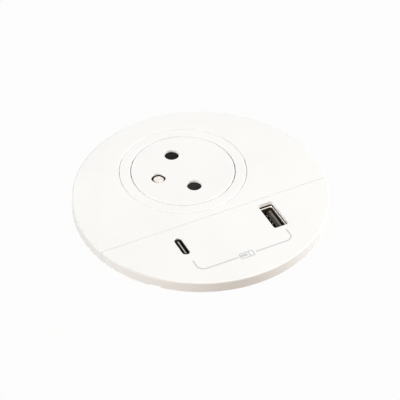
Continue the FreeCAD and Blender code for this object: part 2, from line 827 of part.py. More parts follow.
def curved_slot(item, radius, half_width, first_bearing):
    """A slot outline with round ends that follows a circle around the origin and ends on the -X axis."""
    middle, half = value(radius), value(half_width)
    spread = (math.radians(value(first_bearing)), math.pi)
    sides = [item.addGeometry(Part.ArcOfCircle(Part.Circle(Vector(), Vector(0, 0, 1), size), *spread))
             for size in (middle + half, middle - half)]
    caps = []
    for bearing, turn in ((first_bearing, math.pi), ("180", 0)):
        x, y = polar(radius, bearing)
        low = math.radians(value(bearing)) + turn
        circle = Part.Circle(Vector(value(x), value(y), 0), Vector(0, 0, 1), half)
        caps.append(item.addGeometry(Part.ArcOfCircle(circle, low, low + math.pi)))
    pin_point(item, caps[0], 3, *polar(radius, first_bearing))
    item.addConstraint(Sketcher.Constraint("PointOnObject", caps[1], 3, -1))
    for side in sides:
        item.addConstraint(Sketcher.Constraint("Coincident", side, 3, -1, 1))
    for side, end, cap, cap_end in ((0, 1, 0, 2), (0, 2, 1, 1), (1, 1, 0, 1), (1, 2, 1, 2)):
        item.addConstraint(Sketcher.Constraint("Tangent", sides[side], end, caps[cap], cap_end))
    index = item.addConstraint(Sketcher.Constraint("Radius", caps[0], half))
    item.setExpression(f"Constraints[{index}]", short(half_width))


def coil(radius, wire, turns, bottom, top):
    """A round wire wound at a steady rate: arcs that share their tangents, two to a quarter turn."""
    rise = (top - bottom) / (turns * 2 * math.pi)

    def spot(angle):
        return Vector(radius * math.cos(angle), radius * math.sin(angle), bottom + rise * angle)

    def heading(angle):
        return Vector(-radius * math.sin(angle), radius * math.cos(angle), rise).normalize()

    def bend(start, corner, end):
        """The arc that leaves start towards the corner and comes to end from it."""
        chord = (start + end) * 0.5
        half = (end - start).Length / 2
        lift = (corner - chord).Length
        slope = math.atan2(lift, half)
        sag = half / math.sin(slope) * (1 - math.cos(slope))
        return Part.Arc(start, chord + (corner - chord).normalize() * sag, end).toShape()

    edges = []
    quarters = round(turns * 4)
    for i in range(quarters):
        low, high = i * math.pi / 2, (i + 1) * math.pi / 2
        start, end = spot(low), spot(high)
        first, second = heading(low), heading(high)
        gap = end - start
        both = first + second
        a = 2 * (first.dot(second) - 1)
        b = -2 * gap.dot(both)
        reach = (-b - math.sqrt(b * b - 4 * a * gap.dot(gap))) / (2 * a)
        if reach < 0:
            reach = (-b + math.sqrt(b * b - 4 * a * gap.dot(gap))) / (2 * a)
        corner_a = start + first * reach
        corner_b = end - second * reach
        middle = (corner_a + corner_b) * 0.5
        edges += [bend(start, corner_a, middle), bend(middle, corner_b, end)]
    path = Part.Wire(edges)
    section = Part.Wire(Part.makeCircle(wire, spot(0), heading(0)))
    return path.makePipeShell([section], True, False)


def disc_spring():
    item = doc.addObject("Part::Feature", "disc_spring")
    bottom, top = "-$well_depth + $lift_wire + $close_fit", "$carrier_bottom - $lift_wire - $close_fit"
    item.Shape = coil(*map(value, ("$lift_coil", "$lift_wire", "$lift_turns", bottom, top)))
    item.Placement.Base = Vector(0, value("$socket_place"), 0)
    return keep(item, "disc_spring")


def shutter_spring():
    item = doc.addObject("Part::Feature", "shutter_spring")
    bottom = "$carrier_recess + $return_wire + $close_fit"
    top = f"{shutter_level()} - $return_wire - $close_fit"
    item.Shape = coil(*map(value, ("$return_coil", "$return_wire", "$return_turns", bottom, top)))
    item.Placement.Base = Vector(0, value("$socket_place"), 0)
    return keep(item, "shutter_spring")


def contact_base():
    """Carries the contacts and the earth pin, and closes the bottom of the well."""
    body = new_body("contact_base", y="$socket_place")
    ear = "-$well_depth - $base_ear"
    turned(body, "base_turned", [
        ("0", "$strap_level"),
        ("$tower_foot_radius", "$strap_level"),
        ("$tower_foot_radius", ear),
        ("$well_outer", ear),
        ("$well_outer", "-$well_depth"),
        ("$tower_radius", "-$well_depth"),
        ("$tower_radius", "$tower_top"),
        ("0", "$tower_top"),
    ])
    for name, x, y in POSTS:
        drum(body, f"base_ear_{name}", x, f"{y} - $socket_place", ear, "$ear_radius", "$base_ear")
    for name, x, y in POSTS:
        drum(body, f"base_ear_hole_{name}", x, f"{y} - $socket_place", f"{ear} - $over", "$screw_clear",
             "$base_ear + $over * 2", cut=True)
    under = "$strap_level - $over"
    for end in (1, -1):
        drum(body, f"contact_mouth_{end + 1}", "0", f"({end}) * $pin_offset", "$tower_top - $mouth_depth",
             "$mouth_radius", "$mouth_depth + $over", cut=True)
        drum(body, f"contact_pocket_{end + 1}", "0", f"({end}) * $pin_offset", under, "$pocket_radius",
             "$tower_top - $strap_level - $sleeve_drop + $loose_fit + $over", cut=True)
        drum(body, f"clamp_pilot_{end + 1}", "$clamp_side", f"({end}) * $pin_offset", under, "$screw_pilot",
             "$clamp_pilot_depth + $over", cut=True)
    drum(body, "earth_pin_bore", "-$earth_offset", "0", under, "$earth_bore",
         "$tower_top - $strap_level + $over * 2", cut=True)
    drum(body, "earth_clamp_pilot", "$earth_clamp_side", "0", under, "$screw_pilot",
         "$clamp_pilot_depth + $over", cut=True)
    return keep(body, "contact_base")


def contact_cover():
    body = new_body("contact_cover", y="$socket_place")
    top, inner_floor = "-$well_depth - $base_ear", "$cup_floor + $cup_plate"
    ear = f"{top} - $cover_ear"
    turned(body, "contact_cup", [
        ("0", "$cup_floor"),
        ("$cup_outer", "$cup_floor"),
        ("$cup_outer", top),
        ("$cup_inner", top),
        ("$cup_inner", inner_floor),
        ("0", inner_floor),
    ])
    for name, x, y in POSTS:
        drum(body, f"cover_ear_{name}", x, f"{y} - $socket_place", ear, "$ear_radius", "$cover_ear")
        near, far = polar("$web_circle", WEB_BEARINGS[name])
        block(body, f"cover_web_{name}", f"({x} + {near}) / 2", f"({y} - $socket_place + {far}) / 2", ear,
              "$web_side", "$web_side", "$cover_ear")
        drum(body, f"cover_ear_hole_{name}", x, f"{y} - $socket_place", f"{ear} - $over", "$screw_clear",
             "$cover_ear + $over * 2", cut=True)
    for name, x, y in (
        ("line", "$wire_side", "$pin_offset"),
        ("neutral", "$wire_side", "-$pin_offset"),
        ("line_feed", "$feed_side", "$pin_offset"),
        ("neutral_feed", "$feed_side", "-$pin_offset"),
        ("earth", "$earth_wire_side", "0"),
    ):
        drum(body, f"{name}_exit", x, y, "$cup_floor - $over", "$wire_radius + $wire_exit_play",
             "$cup_plate + $over * 2", cut=True)
    return keep(body, "contact_cover")


def pin_contact(label, end):
    """A split sleeve that grips a plug pin, with a strap to its clamp screw."""
    body = new_body(label, y=f"$socket_place + ({end}) * $pin_offset")
    top = "$tower_top - $sleeve_drop"
    turned(body, label + "_sleeve", [
        ("$sleeve_inner", "$strap_level"),
        ("$sleeve_outer", "$strap_level"),
        ("$sleeve_outer", top),
        ("$sleeve_inner", top),
    ])
    block(body, label + "_slit", "0", "0", "$strap_level + $sleeve_whole", "$sleeve_slit",
          "$sleeve_outer * 3", "$tower_top - $strap_level", cut=True)
    block(body, label + "_strap", "$strap_middle", "0", "$strap_level - $strap_plate", "$strap_length",
          "$strap_width", "$strap_plate")
    drum(body, label + "_clamp_hole", "$clamp_side", "0", "$strap_level - $strap_plate - $over",
         "$strap_hole", "$strap_plate + $over * 2", cut=True)
    return keep(body, label)


def earth_pin():
    body = new_body("earth_pin", x="-$earth_offset", y="$socket_place")
    foot, step = "$strap_level - $strap_plate", "$rim_height - $disc_travel + $loose_fit"
    turned(body, "earth_pin_turned", [
        ("0", f"{foot} - $earth_foot_height"),
        ("$earth_foot_radius", f"{foot} - $earth_foot_height"),
        ("$earth_foot_radius", foot),
        ("$earth_shank", foot),
        ("$earth_shank", step),
        ("$earth_pin_radius", step),
        ("$earth_pin_radius", "$earth_tip - $earth_tip_length"),
        ("$earth_tip_radius", "$earth_tip"),
        ("0", "$earth_tip"),
    ])
    rounded(body, "earth_tip_dome", "$earth_tip_round", rim_edge("$earth_tip_radius", "$earth_tip"))
    return keep(body, "earth_pin")


def earth_strap():
    body = new_body("earth_strap", y="$socket_place")
    under, through = "$strap_level - $strap_plate - $over", "$strap_plate + $over * 2"
    block(body, "earth_strap_bar", "$earth_strap_middle", "0", "$strap_level - $strap_plate",
          "$earth_strap_length", "$earth_strap_width", "$strap_plate")
    drum(body, "earth_strap_pin_hole", "-$earth_offset", "0", under, "$earth_bore", through, cut=True)
    drum(body, "earth_strap_clamp_hole", "$earth_clamp_side", "0", under, "$strap_hole", through, cut=True)
    return keep(body, "earth_strap")


def charger_board():
    body = new_body("charger_board")
    plan = sketch(body, "board_plan", level="$board_top - $board_plate")
    radius, edge = value("$board_radius"), value("$board_edge")
    reach = math.asin(edge / radius)
    arc = plan.addGeometry(Part.ArcOfCircle(Part.Circle(Vector(), Vector(0, 0, 1), radius),
                                            math.pi - reach, 2 * math.pi + reach))
    side = math.sqrt(radius ** 2 - edge ** 2)
    line = plan.addGeometry(Part.LineSegment(Vector(side, edge, 0), Vector(-side, edge, 0)))
    plan.addConstraint(Sketcher.Constraint("Coincident", arc, 2, line, 1))
    plan.addConstraint(Sketcher.Constraint("Coincident", arc, 1, line, 2))
    plan.addConstraint(Sketcher.Constraint("Coincident", arc, 3, -1, 1))
    plan.addConstraint(Sketcher.Constraint("Horizontal", line))
    index = plan.addConstraint(Sketcher.Constraint("Radius", arc, radius))
    plan.setExpression(f"Constraints[{index}]", "sizes.board_radius")
    index = plan.addConstraint(Sketcher.Constraint("DistanceY", -1, 1, line, 1, edge))
    plan.setExpression(f"Constraints[{index}]", "sizes.board_edge")
    raised(body, "board_plate_pad", plan, "$board_plate")
    for name, x, y in BOARD_POSTS:
        drum(body, f"board_hole_{name}", x, y, "$board_top - $board_plate - $over", "$board_hole",
             "$board_plate + $over * 2", cut=True)
    return keep(body, "charger_board")


def obround(item, x, y, width, length):
    """A slot outline that lies along Y, with round ends."""
    half, straight = value(width) / 2, (value(length) - value(width)) / 2
    cx, cy = value(x), value(y)
    left, right, low, high = cx - half, cx + half, cy - straight, cy + straight
    sides, tops = [], []
    for start, end in (((right, low), (right, high)), ((left, high), (left, low))):
        sides.append(item.addGeometry(Part.LineSegment(Vector(*start, 0), Vector(*end, 0))))
    for level, angle in ((high, 0), (low, math.pi)):
        circle = Part.Circle(Vector(cx, level, 0), Vector(0, 0, 1), half)
        tops.append(item.addGeometry(Part.ArcOfCircle(circle, angle, angle + math.pi)))
    for line, arc, after in ((sides[0], tops[0], sides[1]), (sides[1], tops[1], sides[0])):
        item.addConstraint(Sketcher.Constraint("Tangent", line, 2, arc, 1))
        item.addConstraint(Sketcher.Constraint("Tangent", arc, 2, after, 1))
    pin_point(item, tops[0], 3, x, f"{y} + ({length} - {width}) / 2")
    index = item.addConstraint(Sketcher.Constraint("DistanceY", tops[1], 3, tops[0], 3, 2 * straight))
    item.setExpression(f"Constraints[{index}]", short(f"{length} - {width}"))
    index = item.addConstraint(Sketcher.Constraint("Radius", tops[0], half))
    item.setExpression(f"Constraints[{index}]", short(f"{width} / 2"))


def port_a():
    """Shell, tongue and four contacts of the wide port. The tongue sits nearer the outer side."""
    bottom, mouth = "$board_top", "$rim_height - $cover_plate - $shell_a_drop"
    tall = f"{mouth} - ({bottom})"
    shell = new_body("port_a_shell", x="$port_a_side", y="$port_a_back")
    block(shell, "port_a_outside", "0", "0", bottom, "$shell_a_width + $shell_wall * 2",
          "$shell_a_length + $shell_wall * 2", tall)
    rounded(shell, "port_a_corners", "$shell_a_corner", upright_edge)
    block(shell, "port_a_inside", "0", "0", f"{bottom} - $over", "$shell_a_width", "$shell_a_length",
          f"{tall} + $over * 2", cut=True)
    for side in (1, -1):
        for end in (1, -1):
            block(shell, f"port_a_leaf_{side + 1}_{end + 1}",
                  f"({side}) * ($shell_a_width / 2 - $leaf_inset)", f"({end}) * $shell_a_length / 4",
                  "$leaf_level", "$leaf_plate", "$leaf_width", "$leaf_height")
    keep(shell, "port_a_shell")

    place = "$shell_a_width / 2 - $tongue_a_inset"
    tongue = new_body("port_a_tongue", x="$port_a_side", y="$port_a_back")
    block(tongue, "port_a_foot", "0", "0", bottom, "$shell_a_width - $foot_play",
          "$shell_a_length - $foot_play", "$tongue_a_foot")
    block(tongue, "port_a_blade", place, "0", bottom, "$tongue_a_plate", "$tongue_a_width",
          f"{tall} - $tongue_a_drop - $tongue_a_step")
    block(tongue, "port_a_tip", f"{place} + ($tongue_a_plate - $tongue_a_tip) / 2", "0", bottom,
          "$tongue_a_tip", "$tongue_a_width", f"{tall} - $tongue_a_drop")
    keep(tongue, "port_a_tongue")

    contacts = []
    for i, along in enumerate(STRIPS_A, 1):
        strip = plain_box(f"port_a_contact_{i}",
                          f"$port_a_side + {place} - $tongue_a_plate / 2 - $strip_a_plate / 2",
                          f"$port_a_back + ({along})", f"{bottom} + $strip_a_low", "$strip_a_plate",
                          "$strip_a_width", f"{tall} - $strip_a_short")
        contacts.append(strip)
    group = doc.addObject("Part::Compound", "port_a_contacts")
    group.Links = contacts
    keep(group, "port_a_contacts")


def port_c():
    bottom, mouth = "$board_top + $shell_c_rise", "$rim_height - $shell_c_drop"
    tall = f"{mouth} - ({bottom})"
    shell = new_body("port_c_shell", x="$port_c_side", y="$port_c_back")
    plan = sketch(shell, "port_c_plan", level=bottom)
    obround(plan, "0", "0", "($shell_c_width + $shell_wall * 2)", "($shell_c_length + $shell_wall * 2)")
    obround(plan, "0", "0", "$shell_c_width", "$shell_c_length")
    raised(shell, "port_c_tube", plan, tall)
    keep(shell, "port_c_shell")

    tongue = new_body("port_c_tongue", x="$port_c_side", y="$port_c_back")
    foot = sketch(tongue, "port_c_foot_plan", level=bottom)
    obround(foot, "0", "0", "($shell_c_width - $close_fit)", "($shell_c_length - $close_fit)")
    raised(tongue, "port_c_foot", foot, "$tongue_c_foot")
    block(tongue, "port_c_blade", "0", "0", bottom, "$tongue_c_plate", "$tongue_c_width",
          f"{tall} - $tongue_c_drop")
    keep(tongue, "port_c_tongue")

    contacts = []
    for side in (1, -1):
        for i in range(STRIPS_C):
            along = (i - (STRIPS_C - 1) / 2) * STRIP_PITCH_C
            strip = plain_box(f"port_c_contact_{side + 1}_{i + 1}",
                              f"$port_c_side + ({side}) * $strip_c_side", f"$port_c_back + ({along})",
                              f"{bottom} + $strip_c_low", "$strip_c_plate", "$strip_c_width",
                              f"{tall} - $strip_c_short")
            contacts.append(strip)
    group = doc.addObject("Part::Compound", "port_c_contacts")
    group.Links = contacts
    keep(group, "port_c_contacts")

    riser = new_body("port_c_riser", x="$port_c_side", y="$port_c_back")
    block(riser, "riser_block", "0", "0", "$board_top", "$riser_width", "$riser_length", "$shell_c_rise")
    rounded(riser, "riser_corners", "$riser_corner", upright_edge)
    keep(riser, "port_c_riser")


STRIPS_A = (-3.5, -1.17, 1.17, 3.5)
STRIPS_C, STRIP_PITCH_C = 12, 0.5
INPUT_CANS = (("-26.2", "-18.2", "13"), ("-21.5", "-26.2", "11"))
BOARD_PLACES = {
    "output": ("6.5", "-20.5"),
    "safety": ("12.6", "-29"),
    "fuse": ("23.8", "-22.5"),
    "choke": ("14.5", "-20"),
}
CHIPS = (
    ("-6", "-19", "5", "4", "1.5"),
    ("-5", "-27", "3", "3", "0.9"),
    ("6.5", "-28.5", "4", "5", "1.5"),
)


def charger_parts():
    """What the charger needs on its board: parts hang below it and stand on it."""
    under = "$board_top - $board_plate"
    core = new_body("transformer_core", y="$core_back")
    block(core, "core_frame", "0", "0", f"{under} - $core_gap - $core_height", "$core_length",
          "$core_width", "$core_height")
    block(core, "core_window", "0", "0", f"{under} - $window_drop", "$window_length",
          "$core_width + $over * 2", "$window_height", cut=True)
    keep(core, "transformer_core")

    winding = new_body("transformer_winding", y="$core_back")
    block(winding, "winding_block", "0", "0", f"{under} - $winding_drop", "$winding_length",
          "$winding_width", "$winding_height")
    rounded(winding, "winding_rounds", "$winding_round", upright_edge)
    keep(winding, "transformer_winding")

    cans = []
    for i, (x, y, length) in enumerate(INPUT_CANS, 1):
        can = doc.addObject("Part::Cylinder", f"input_can_{i}")
        can.Placement.Rotation = Rotation(Vector(0, 1, 0), 90)
        bind(can, Radius="$can_radius", Height=length, Placement__Base__x=x, Placement__Base__y=y,
             Placement__Base__z=f"{under} - $can_drop")
        cans.append(can)
    group = doc.addObject("Part::Compound", "input_capacitors")
    group.Links = cans
    keep(group, "input_capacitors")

    output = new_body("output_capacitor", *BOARD_PLACES["output"])
    drum(output, "output_can", "0", "0", "$board_top", "$output_radius", "$output_height")
    rounded(output, "output_edge", "$output_round", rim_edge("$output_radius", "$board_top + $output_height"))
    keep(output, "output_capacitor")

    safety = doc.addObject("Part::Cylinder", "safety_capacitor")
    safety.Placement.Rotation = Rotation(Vector(0, 1, 0), 90)
    x, y = BOARD_PLACES["safety"]
    bind(safety, Radius="$ceramic_radius", Height="$ceramic_plate", Placement__Base__x=x,
         Placement__Base__y=y, Placement__Base__z=f"{under} - $ceramic_drop")
    keep(safety, "safety_capacitor")

    fuse = new_body("fuse", *BOARD_PLACES["fuse"])
    drum(fuse, "fuse_can", "0", "0", f"{under} - $fuse_height", "$fuse_radius", "$fuse_height")
    rounded(fuse, "fuse_edge", "$fuse_round", rim_edge("$fuse_radius", f"{under} - $fuse_height"))
    keep(fuse, "fuse")

    choke = new_body("filter_choke", *BOARD_PLACES["choke"])
    low = f"{under} - $choke_height"
    turned(choke, "choke_drum", [
        ("0", low),
        ("$choke_radius", low),
        ("$choke_radius", f"{low} + $choke_flange"),
        ("$choke_waist", f"{low} + $choke_flange"),
        ("$choke_waist", f"{under} - $choke_flange"),
        ("$choke_radius", f"{under} - $choke_flange"),
        ("$choke_radius", under),
        ("0", under),
    ])
    keep(choke, "filter_choke")

    chips = []
    for i, (x, y, length, width, height) in enumerate(CHIPS, 1):
        chips.append(plain_box(f"chip_{i}", x, y, "$board_top", length, width, height))
    group = doc.addObject("Part::Compound", "controller_chips")
    group.Links = chips
    keep(group, "controller_chips")


def divider():
    body = new_body("divider")
    block(body, "divider_sheet", "0", "$divider_back", "$divider_low", "$divider_length", "$divider_plate",
          "-$divider_low - $deck_plate")
    return keep(body, "divider")


POLES = (("earth", "-$pole_spacing"), ("neutral", "0"), ("line", "$pole_spacing"))


def terminal_block():
    body = new_body("terminal_block", y="$block_back")
    block(body, "terminal_body", "0", "0", "-$barrel_depth", "$block_length", "$block_width", "$block_height")
    rounded(body, "terminal_corners", "$block_corner", upright_edge)
    for name, x in POLES:
        for row in ("low", "high"):
            bore = body.newObject("PartDesign::SubtractiveCylinder", f"{name}_{row}_bore")
            bore.Placement.Rotation = Rotation(Vector(1, 0, 0), 90)
            bind(bore, Radius="$wire_radius + $loose_fit", Height="$block_width + $over * 2",
                 Placement__Base__x=x, Placement__Base__y="$block_width / 2 + $over",
                 Placement__Base__z=f"${row}_row")
        drum(body, f"{name}_screw_well", x, "0", "$terminal_seat", "$terminal_well", "$block_height",
             cut=True)
    return keep(body, "terminal_block")


def tube(points, bends, radius):
    """A wire of straight runs joined by tangent arcs."""
    spots = [Vector(*p) for p in points]
    edges = []
    start = spots[0]
    for i, bend in enumerate(bends, 1):
        before = (spots[i - 1] - spots[i]).normalize()
        after = (spots[i + 1] - spots[i]).normalize()
        half = before.getAngle(after) / 2
        reach = bend / math.tan(half)
        enter, leave = spots[i] + before * reach, spots[i] + after * reach
        inward = (before + after).normalize()
        middle = spots[i] + inward * (bend / math.sin(half) - bend)
        edges += [Part.LineSegment(start, enter).toShape(), Part.Arc(enter, middle, leave).toShape()]
        start = leave
    edges.append(Part.LineSegment(start, spots[-1]).toShape())
    path = Part.Wire(edges)
    section = Part.Wire(Part.makeCircle(radius, spots[0], spots[1] - spots[0]))
    return path.makePipeShell([section], True, False)


GANGWAY = -36.9
CROSSING = -40.8


def wires():
    """Inner wiring: inlet to terminal block, block to socket straps, straps to the charger."""
    middle, reach, gland = value("$socket_place"), value("$pin_offset"), value("$gland_back")
    strap, board = value("$strap_level - $strap_plate"), value("$board_top - $board_plate")
    low, high = value("$low_row"), value("$high_row")
    side, feed, earth = value("$wire_side"), value("$feed_side"), value("$earth_wire_side")
    pole = value("$pole_spacing")
    line, neutral = middle + reach, middle - reach
    routes = {
        "line_wire": [([(pole, 19, high), (pole, 26, high), (side, line, GANGWAY - 1), (side, line, strap)],
                       (2.4, 2.0))],
        "neutral_wire": [([(0, 11, high), (0, 4, high), (side, neutral, GANGWAY), (side, neutral, strap)],
                          (2.0, 1.6))],
        "earth_wire": [([(-pole, 11, high), (-pole, 4.5, high), (-8, 6.5, GANGWAY), (earth, middle, GANGWAY),
                         (earth, middle, strap)], (1.6, 1.4, 2.6))],
        "board_wires": [([(feed, neutral, strap), (feed, neutral, GANGWAY), (-3, -16.2, GANGWAY),
                          (-3, -16.2, board)], (2.6, 3.0)),
                        ([(feed, line, strap), (feed, line, GANGWAY), (-13, 18, GANGWAY), (-13, -6, GANGWAY),
                          (-9, -16.2, -34), (-9, -16.2, board)], (2.6, 3.0, 4.0, 3.0))],
        "inlet_wires": [([(x / 4.5, gland, -48), (x / 4.5, gland, -40), (x, -4, CROSSING), (x, 2, low),
                          (x, 11, low)], (3.0, 3.0, 3.0)) for x in (-pole, 0, pole)],
    }
    for label, strands in routes.items():
        solids = [tube(points, bends, value("$wire_radius")) for points, bends in strands]
        item = doc.addObject("Part::Feature", label)
        item.Shape = Part.makeCompound(solids) if len(solids) > 1 else solids[0]
        keep(item, label)


def hexagon(item, y, flats):
    """A six-sided outline around a point on the Y axis."""
    corner = f"({flats}) / sqrt(3)"
    points = []
    for i in range(6):
        x, back = polar(corner, 60 * i)
        points.append((x, f"{y} + {back}"))
    outline(item, points)


def cable_gland():
    plate = "-$barrel_depth - $rear_plate"
    shoulder, end, seat = f"{plate} - $gland_flange", f"{plate} - $gland_length", f"{plate} - $locknut_height"
    body = new_body("gland_body", y="$gland_back")
    turned(body, "gland_tube", [
        ("$gland_neck_radius", end),
        ("$gland_neck_radius", shoulder),
        ("$gland_thread_radius", shoulder),
        ("$gland_thread_radius", "$gland_top"),
        ("$gland_throat", "$gland_top"),
        ("$gland_throat", seat),
        ("$gland_mouth", f"{seat} - $rear_edge_slope"),
        ("$gland_mouth", end),
    ])
    hexed = sketch(body, "gland_hex", level=shoulder)
    hexagon(hexed, "0", "$gland_flats")
    ring(hexed, "0", "0", "$gland_nut_radius")
    raised(body, "gland_collar", hexed, "$gland_flange")
    keep(body, "gland_body")

    nut = new_body("gland_locknut", y="$gland_back")
    plan = sketch(nut, "locknut_plan", level="-$barrel_depth")
    hexagon(plan, "0", "$gland_flats")
    ring(plan, "0", "0", "$gland_thread_radius")
    raised(nut, "locknut_pad", plan, "$locknut_height")
    keep(nut, "gland_locknut")

    seal = new_body("gland_seal", y="$gland_back")
    turned(seal, "seal_ring", [
        ("$cable_radius", f"{plate} - $seal_low"),
        ("$seal_radius", f"{plate} - $seal_low"),
        ("$seal_radius", f"{plate} - $seal_high"),
        ("$cable_radius", f"{plate} - $seal_high"),
    ])
    keep(seal, "gland_seal")

    cap = new_body("gland_cap", y="$gland_back")
    turned(cap, "cap_turned", [
        ("$cap_hole", f"{plate} - $cap_low"),
        ("$cap_end_radius", f"{plate} - $cap_low"),
        ("$cap_radius", f"{plate} - $cap_shoulder"),
        ("$cap_radius", f"{plate} - $cap_high"),
        ("$gland_nut_radius", f"{plate} - $cap_high"),
        ("$gland_nut_radius", f"{plate} - $cap_inner"),
        ("$cap_hole", f"{plate} - $cap_inner"),
    ])
    grip = block(cap, "cap_grip", "$cap_grip_place", "0", f"{plate} - $cap_low - $over", "$cap_grip_size",
                 "$cap_grip_size", "$cap_low - $cap_high + $over * 2", cut=True)
    repeated(cap, "cap_grips", [grip], CAP_GRIPS)
    keep(cap, "gland_cap")


CAP_GRIPS = 18
CLAW_TEETH = 4


def claw_set(label, side):
    """Screw, travelling nut and claw of one clamp. Side is 1 on the right and -1 on the left."""
    x, y = f"({side}) * $claw_axis_side", f"({side}) * $claw_axis_back"
    end = "$niche_floor - $claw_screw_end"
    screw = new_body(f"claw_screw_{label}", x=x, y=y)
    turned(screw, f"claw_screw_{label}_turned", [
        ("0", end),
        ("$claw_screw_radius - $claw_screw_point", end),
        ("$claw_screw_radius", f"{end} + $claw_screw_point"),
        ("$claw_screw_radius", "$close_fit"),
        ("$claw_head_radius", "$close_fit"),
        ("$claw_head_radius", "$claw_head_edge"),
        ("$claw_head_crown", "$claw_head_top"),
        ("0", "$claw_head_top"),
    ])
    for turn, (length, width) in enumerate((("length", "width"), ("width", "length"))):
        block(screw, f"claw_screw_{label}_recess_{turn}", "0", "0", "$claw_recess_level",
              f"$claw_recess_{length}", f"$claw_recess_{width}", "$claw_head_top", cut=True)
    keep(screw, f"claw_screw_{label}")

    base = "$claw_top - $claw_height"
    nut = new_body(f"claw_nut_{label}", x=x, y=y)
    turned(nut, f"claw_nut_{label}_collar", [
        ("$claw_screw_radius + $close_fit", f"{base} - $nut_low"),
        ("$claw_bore_radius - $close_fit", f"{base} - $nut_low"),
        ("$claw_bore_radius - $close_fit", "$claw_top + $loose_fit"),
        ("$claw_screw_radius + $close_fit", "$claw_top + $loose_fit"),
    ])
    block(nut, f"claw_nut_{label}_foot", f"({side}) * (-0.5)", "0", f"{base} - $nut_low", "$nut_foot_side",
          "$nut_foot_side", "$nut_foot_plate")
    drum(nut, f"claw_nut_{label}_bore", "0", "0", f"{base} - $nut_low - $over",
         "$claw_screw_radius + $close_fit", "$claw_height", cut=True)
    keep(nut, f"claw_nut_{label}")

    claw = new_body(f"claw_{label}", x=x, y=y)
    drum(claw, f"claw_{label}_hub", "0", "0", base, "$claw_hub_radius", "$claw_height")
    arm = sketch(claw, f"claw_{label}_arm_plan", "YZ_Plane", "-$claw_arm / 2")
    reach = f"({side}) * $claw_reach"
    outline(arm, [
        ("0", base),
        (f"({side}) * $claw_arm", base),
        (reach, "$claw_top - $claw_tip"),
        (reach, "$claw_top"),
        ("0", "$claw_top"),
    ])
    raised(claw, f"claw_{label}_arm", arm, "$claw_arm")
    for i in range(CLAW_TEETH):
        along = f"({side}) * ($claw_reach - $notch_first - $notch_pitch * {i})"
        block(claw, f"claw_{label}_notch_{i + 1}", "0", along, "$claw_top - $notch_depth",
              "$claw_arm + $over", "$notch_width", "$over", cut=True)
    drum(claw, f"claw_{label}_bore", "0", "0", f"{base} - $over", "$claw_bore_radius",
         "$claw_height + $over * 2", cut=True)
    keep(claw, f"claw_{label}")


def screws():
    rear = pan_screw("rear_screw")
    seat = "-$barrel_depth - $rear_plate + $rear_sink_depth"
    copies("rear_screws", rear, [polar("$rear_boss_circle", bearing) + (seat,) for bearing in REAR_BEARINGS])
    socket = pan_screw("socket_screw")
    seat = "-$well_depth - $base_ear - $cover_ear"
    copies("socket_screws", socket, [(x, y, seat) for _, x, y in POSTS])
    board = pan_screw("board_screw")
    copies("board_screws", board, [(x, y, "$board_top - $board_plate") for _, x, y in BOARD_POSTS])
    disc = pan_screw("disc_screw")
    places = [polar("$disc_screw_circle", bearing) for bearing in DISC_SCREW_BEARINGS]
    copies("disc_screws", disc, [(x, f"{y} + $socket_place", "$carrier_bottom") for x, y in places])
    clamp = pan_screw("clamp_screw")
    level = "$strap_level - $strap_plate"
    copies("clamp_screws", clamp, [
        ("$clamp_side", "$socket_place + $pin_offset", level),
        ("$clamp_side", "$socket_place - $pin_offset", level),
        ("$earth_clamp_side", "$socket_place", level),
    ])
    terminal = doc.addObject("PartDesign::Body", "terminal_screw")
    drum(terminal, "terminal_screw_turned", "0", "0", "0", "$terminal_radius", "$terminal_height")
    block(terminal, "terminal_screw_slot", "0", "0", "$terminal_height / 2", "$terminal_radius * 3", "0.6",
          "$terminal_height", cut=True)
    copies("terminal_screws", terminal, [(x, "$block_back", "$terminal_seat") for _, x in POLES])


cover_socket_side()
cover_port_side()
housing()
rear_cover()
socket_bezel()
disc_face()
disc_carrier()
shutter()
disc_spring()
shutter_spring()
contact_base()
contact_cover()
pin_contact("line_contact", 1)
pin_contact("neutral_contact", -1)
earth_pin()
earth_strap()
charger_board()
port_a()
port_c()
charger_parts()
divider()
terminal_block()
wires()
cable_gland()
claw_set("right", 1)
claw_set("left", -1)
screws()
doc.recompute()

problems = [f"{o.Label}: {o.State}" for o in doc.Objects if {"Invalid", "Error"} & set(o.State)]
problems += [o.Label for o in nodes if o.Shape.isNull() or not o.Shape.isValid() or not o.Shape.Solids]
if problems:
    raise RuntimeError("; ".join(problems))

os.makedirs("parts", exist_ok=True)
for item in nodes:
    item.Shape.exportStep(f"parts/{item.Label}.step")
    print(f"{item.Label:24} {len(item.Shape.Solids):3} solids {item.Shape.Volume:10.1f} mm3")
print(len(nodes), "nodes")
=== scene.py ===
import json
import math

import bmesh
import bpy
from mathutils import Matrix, Vector

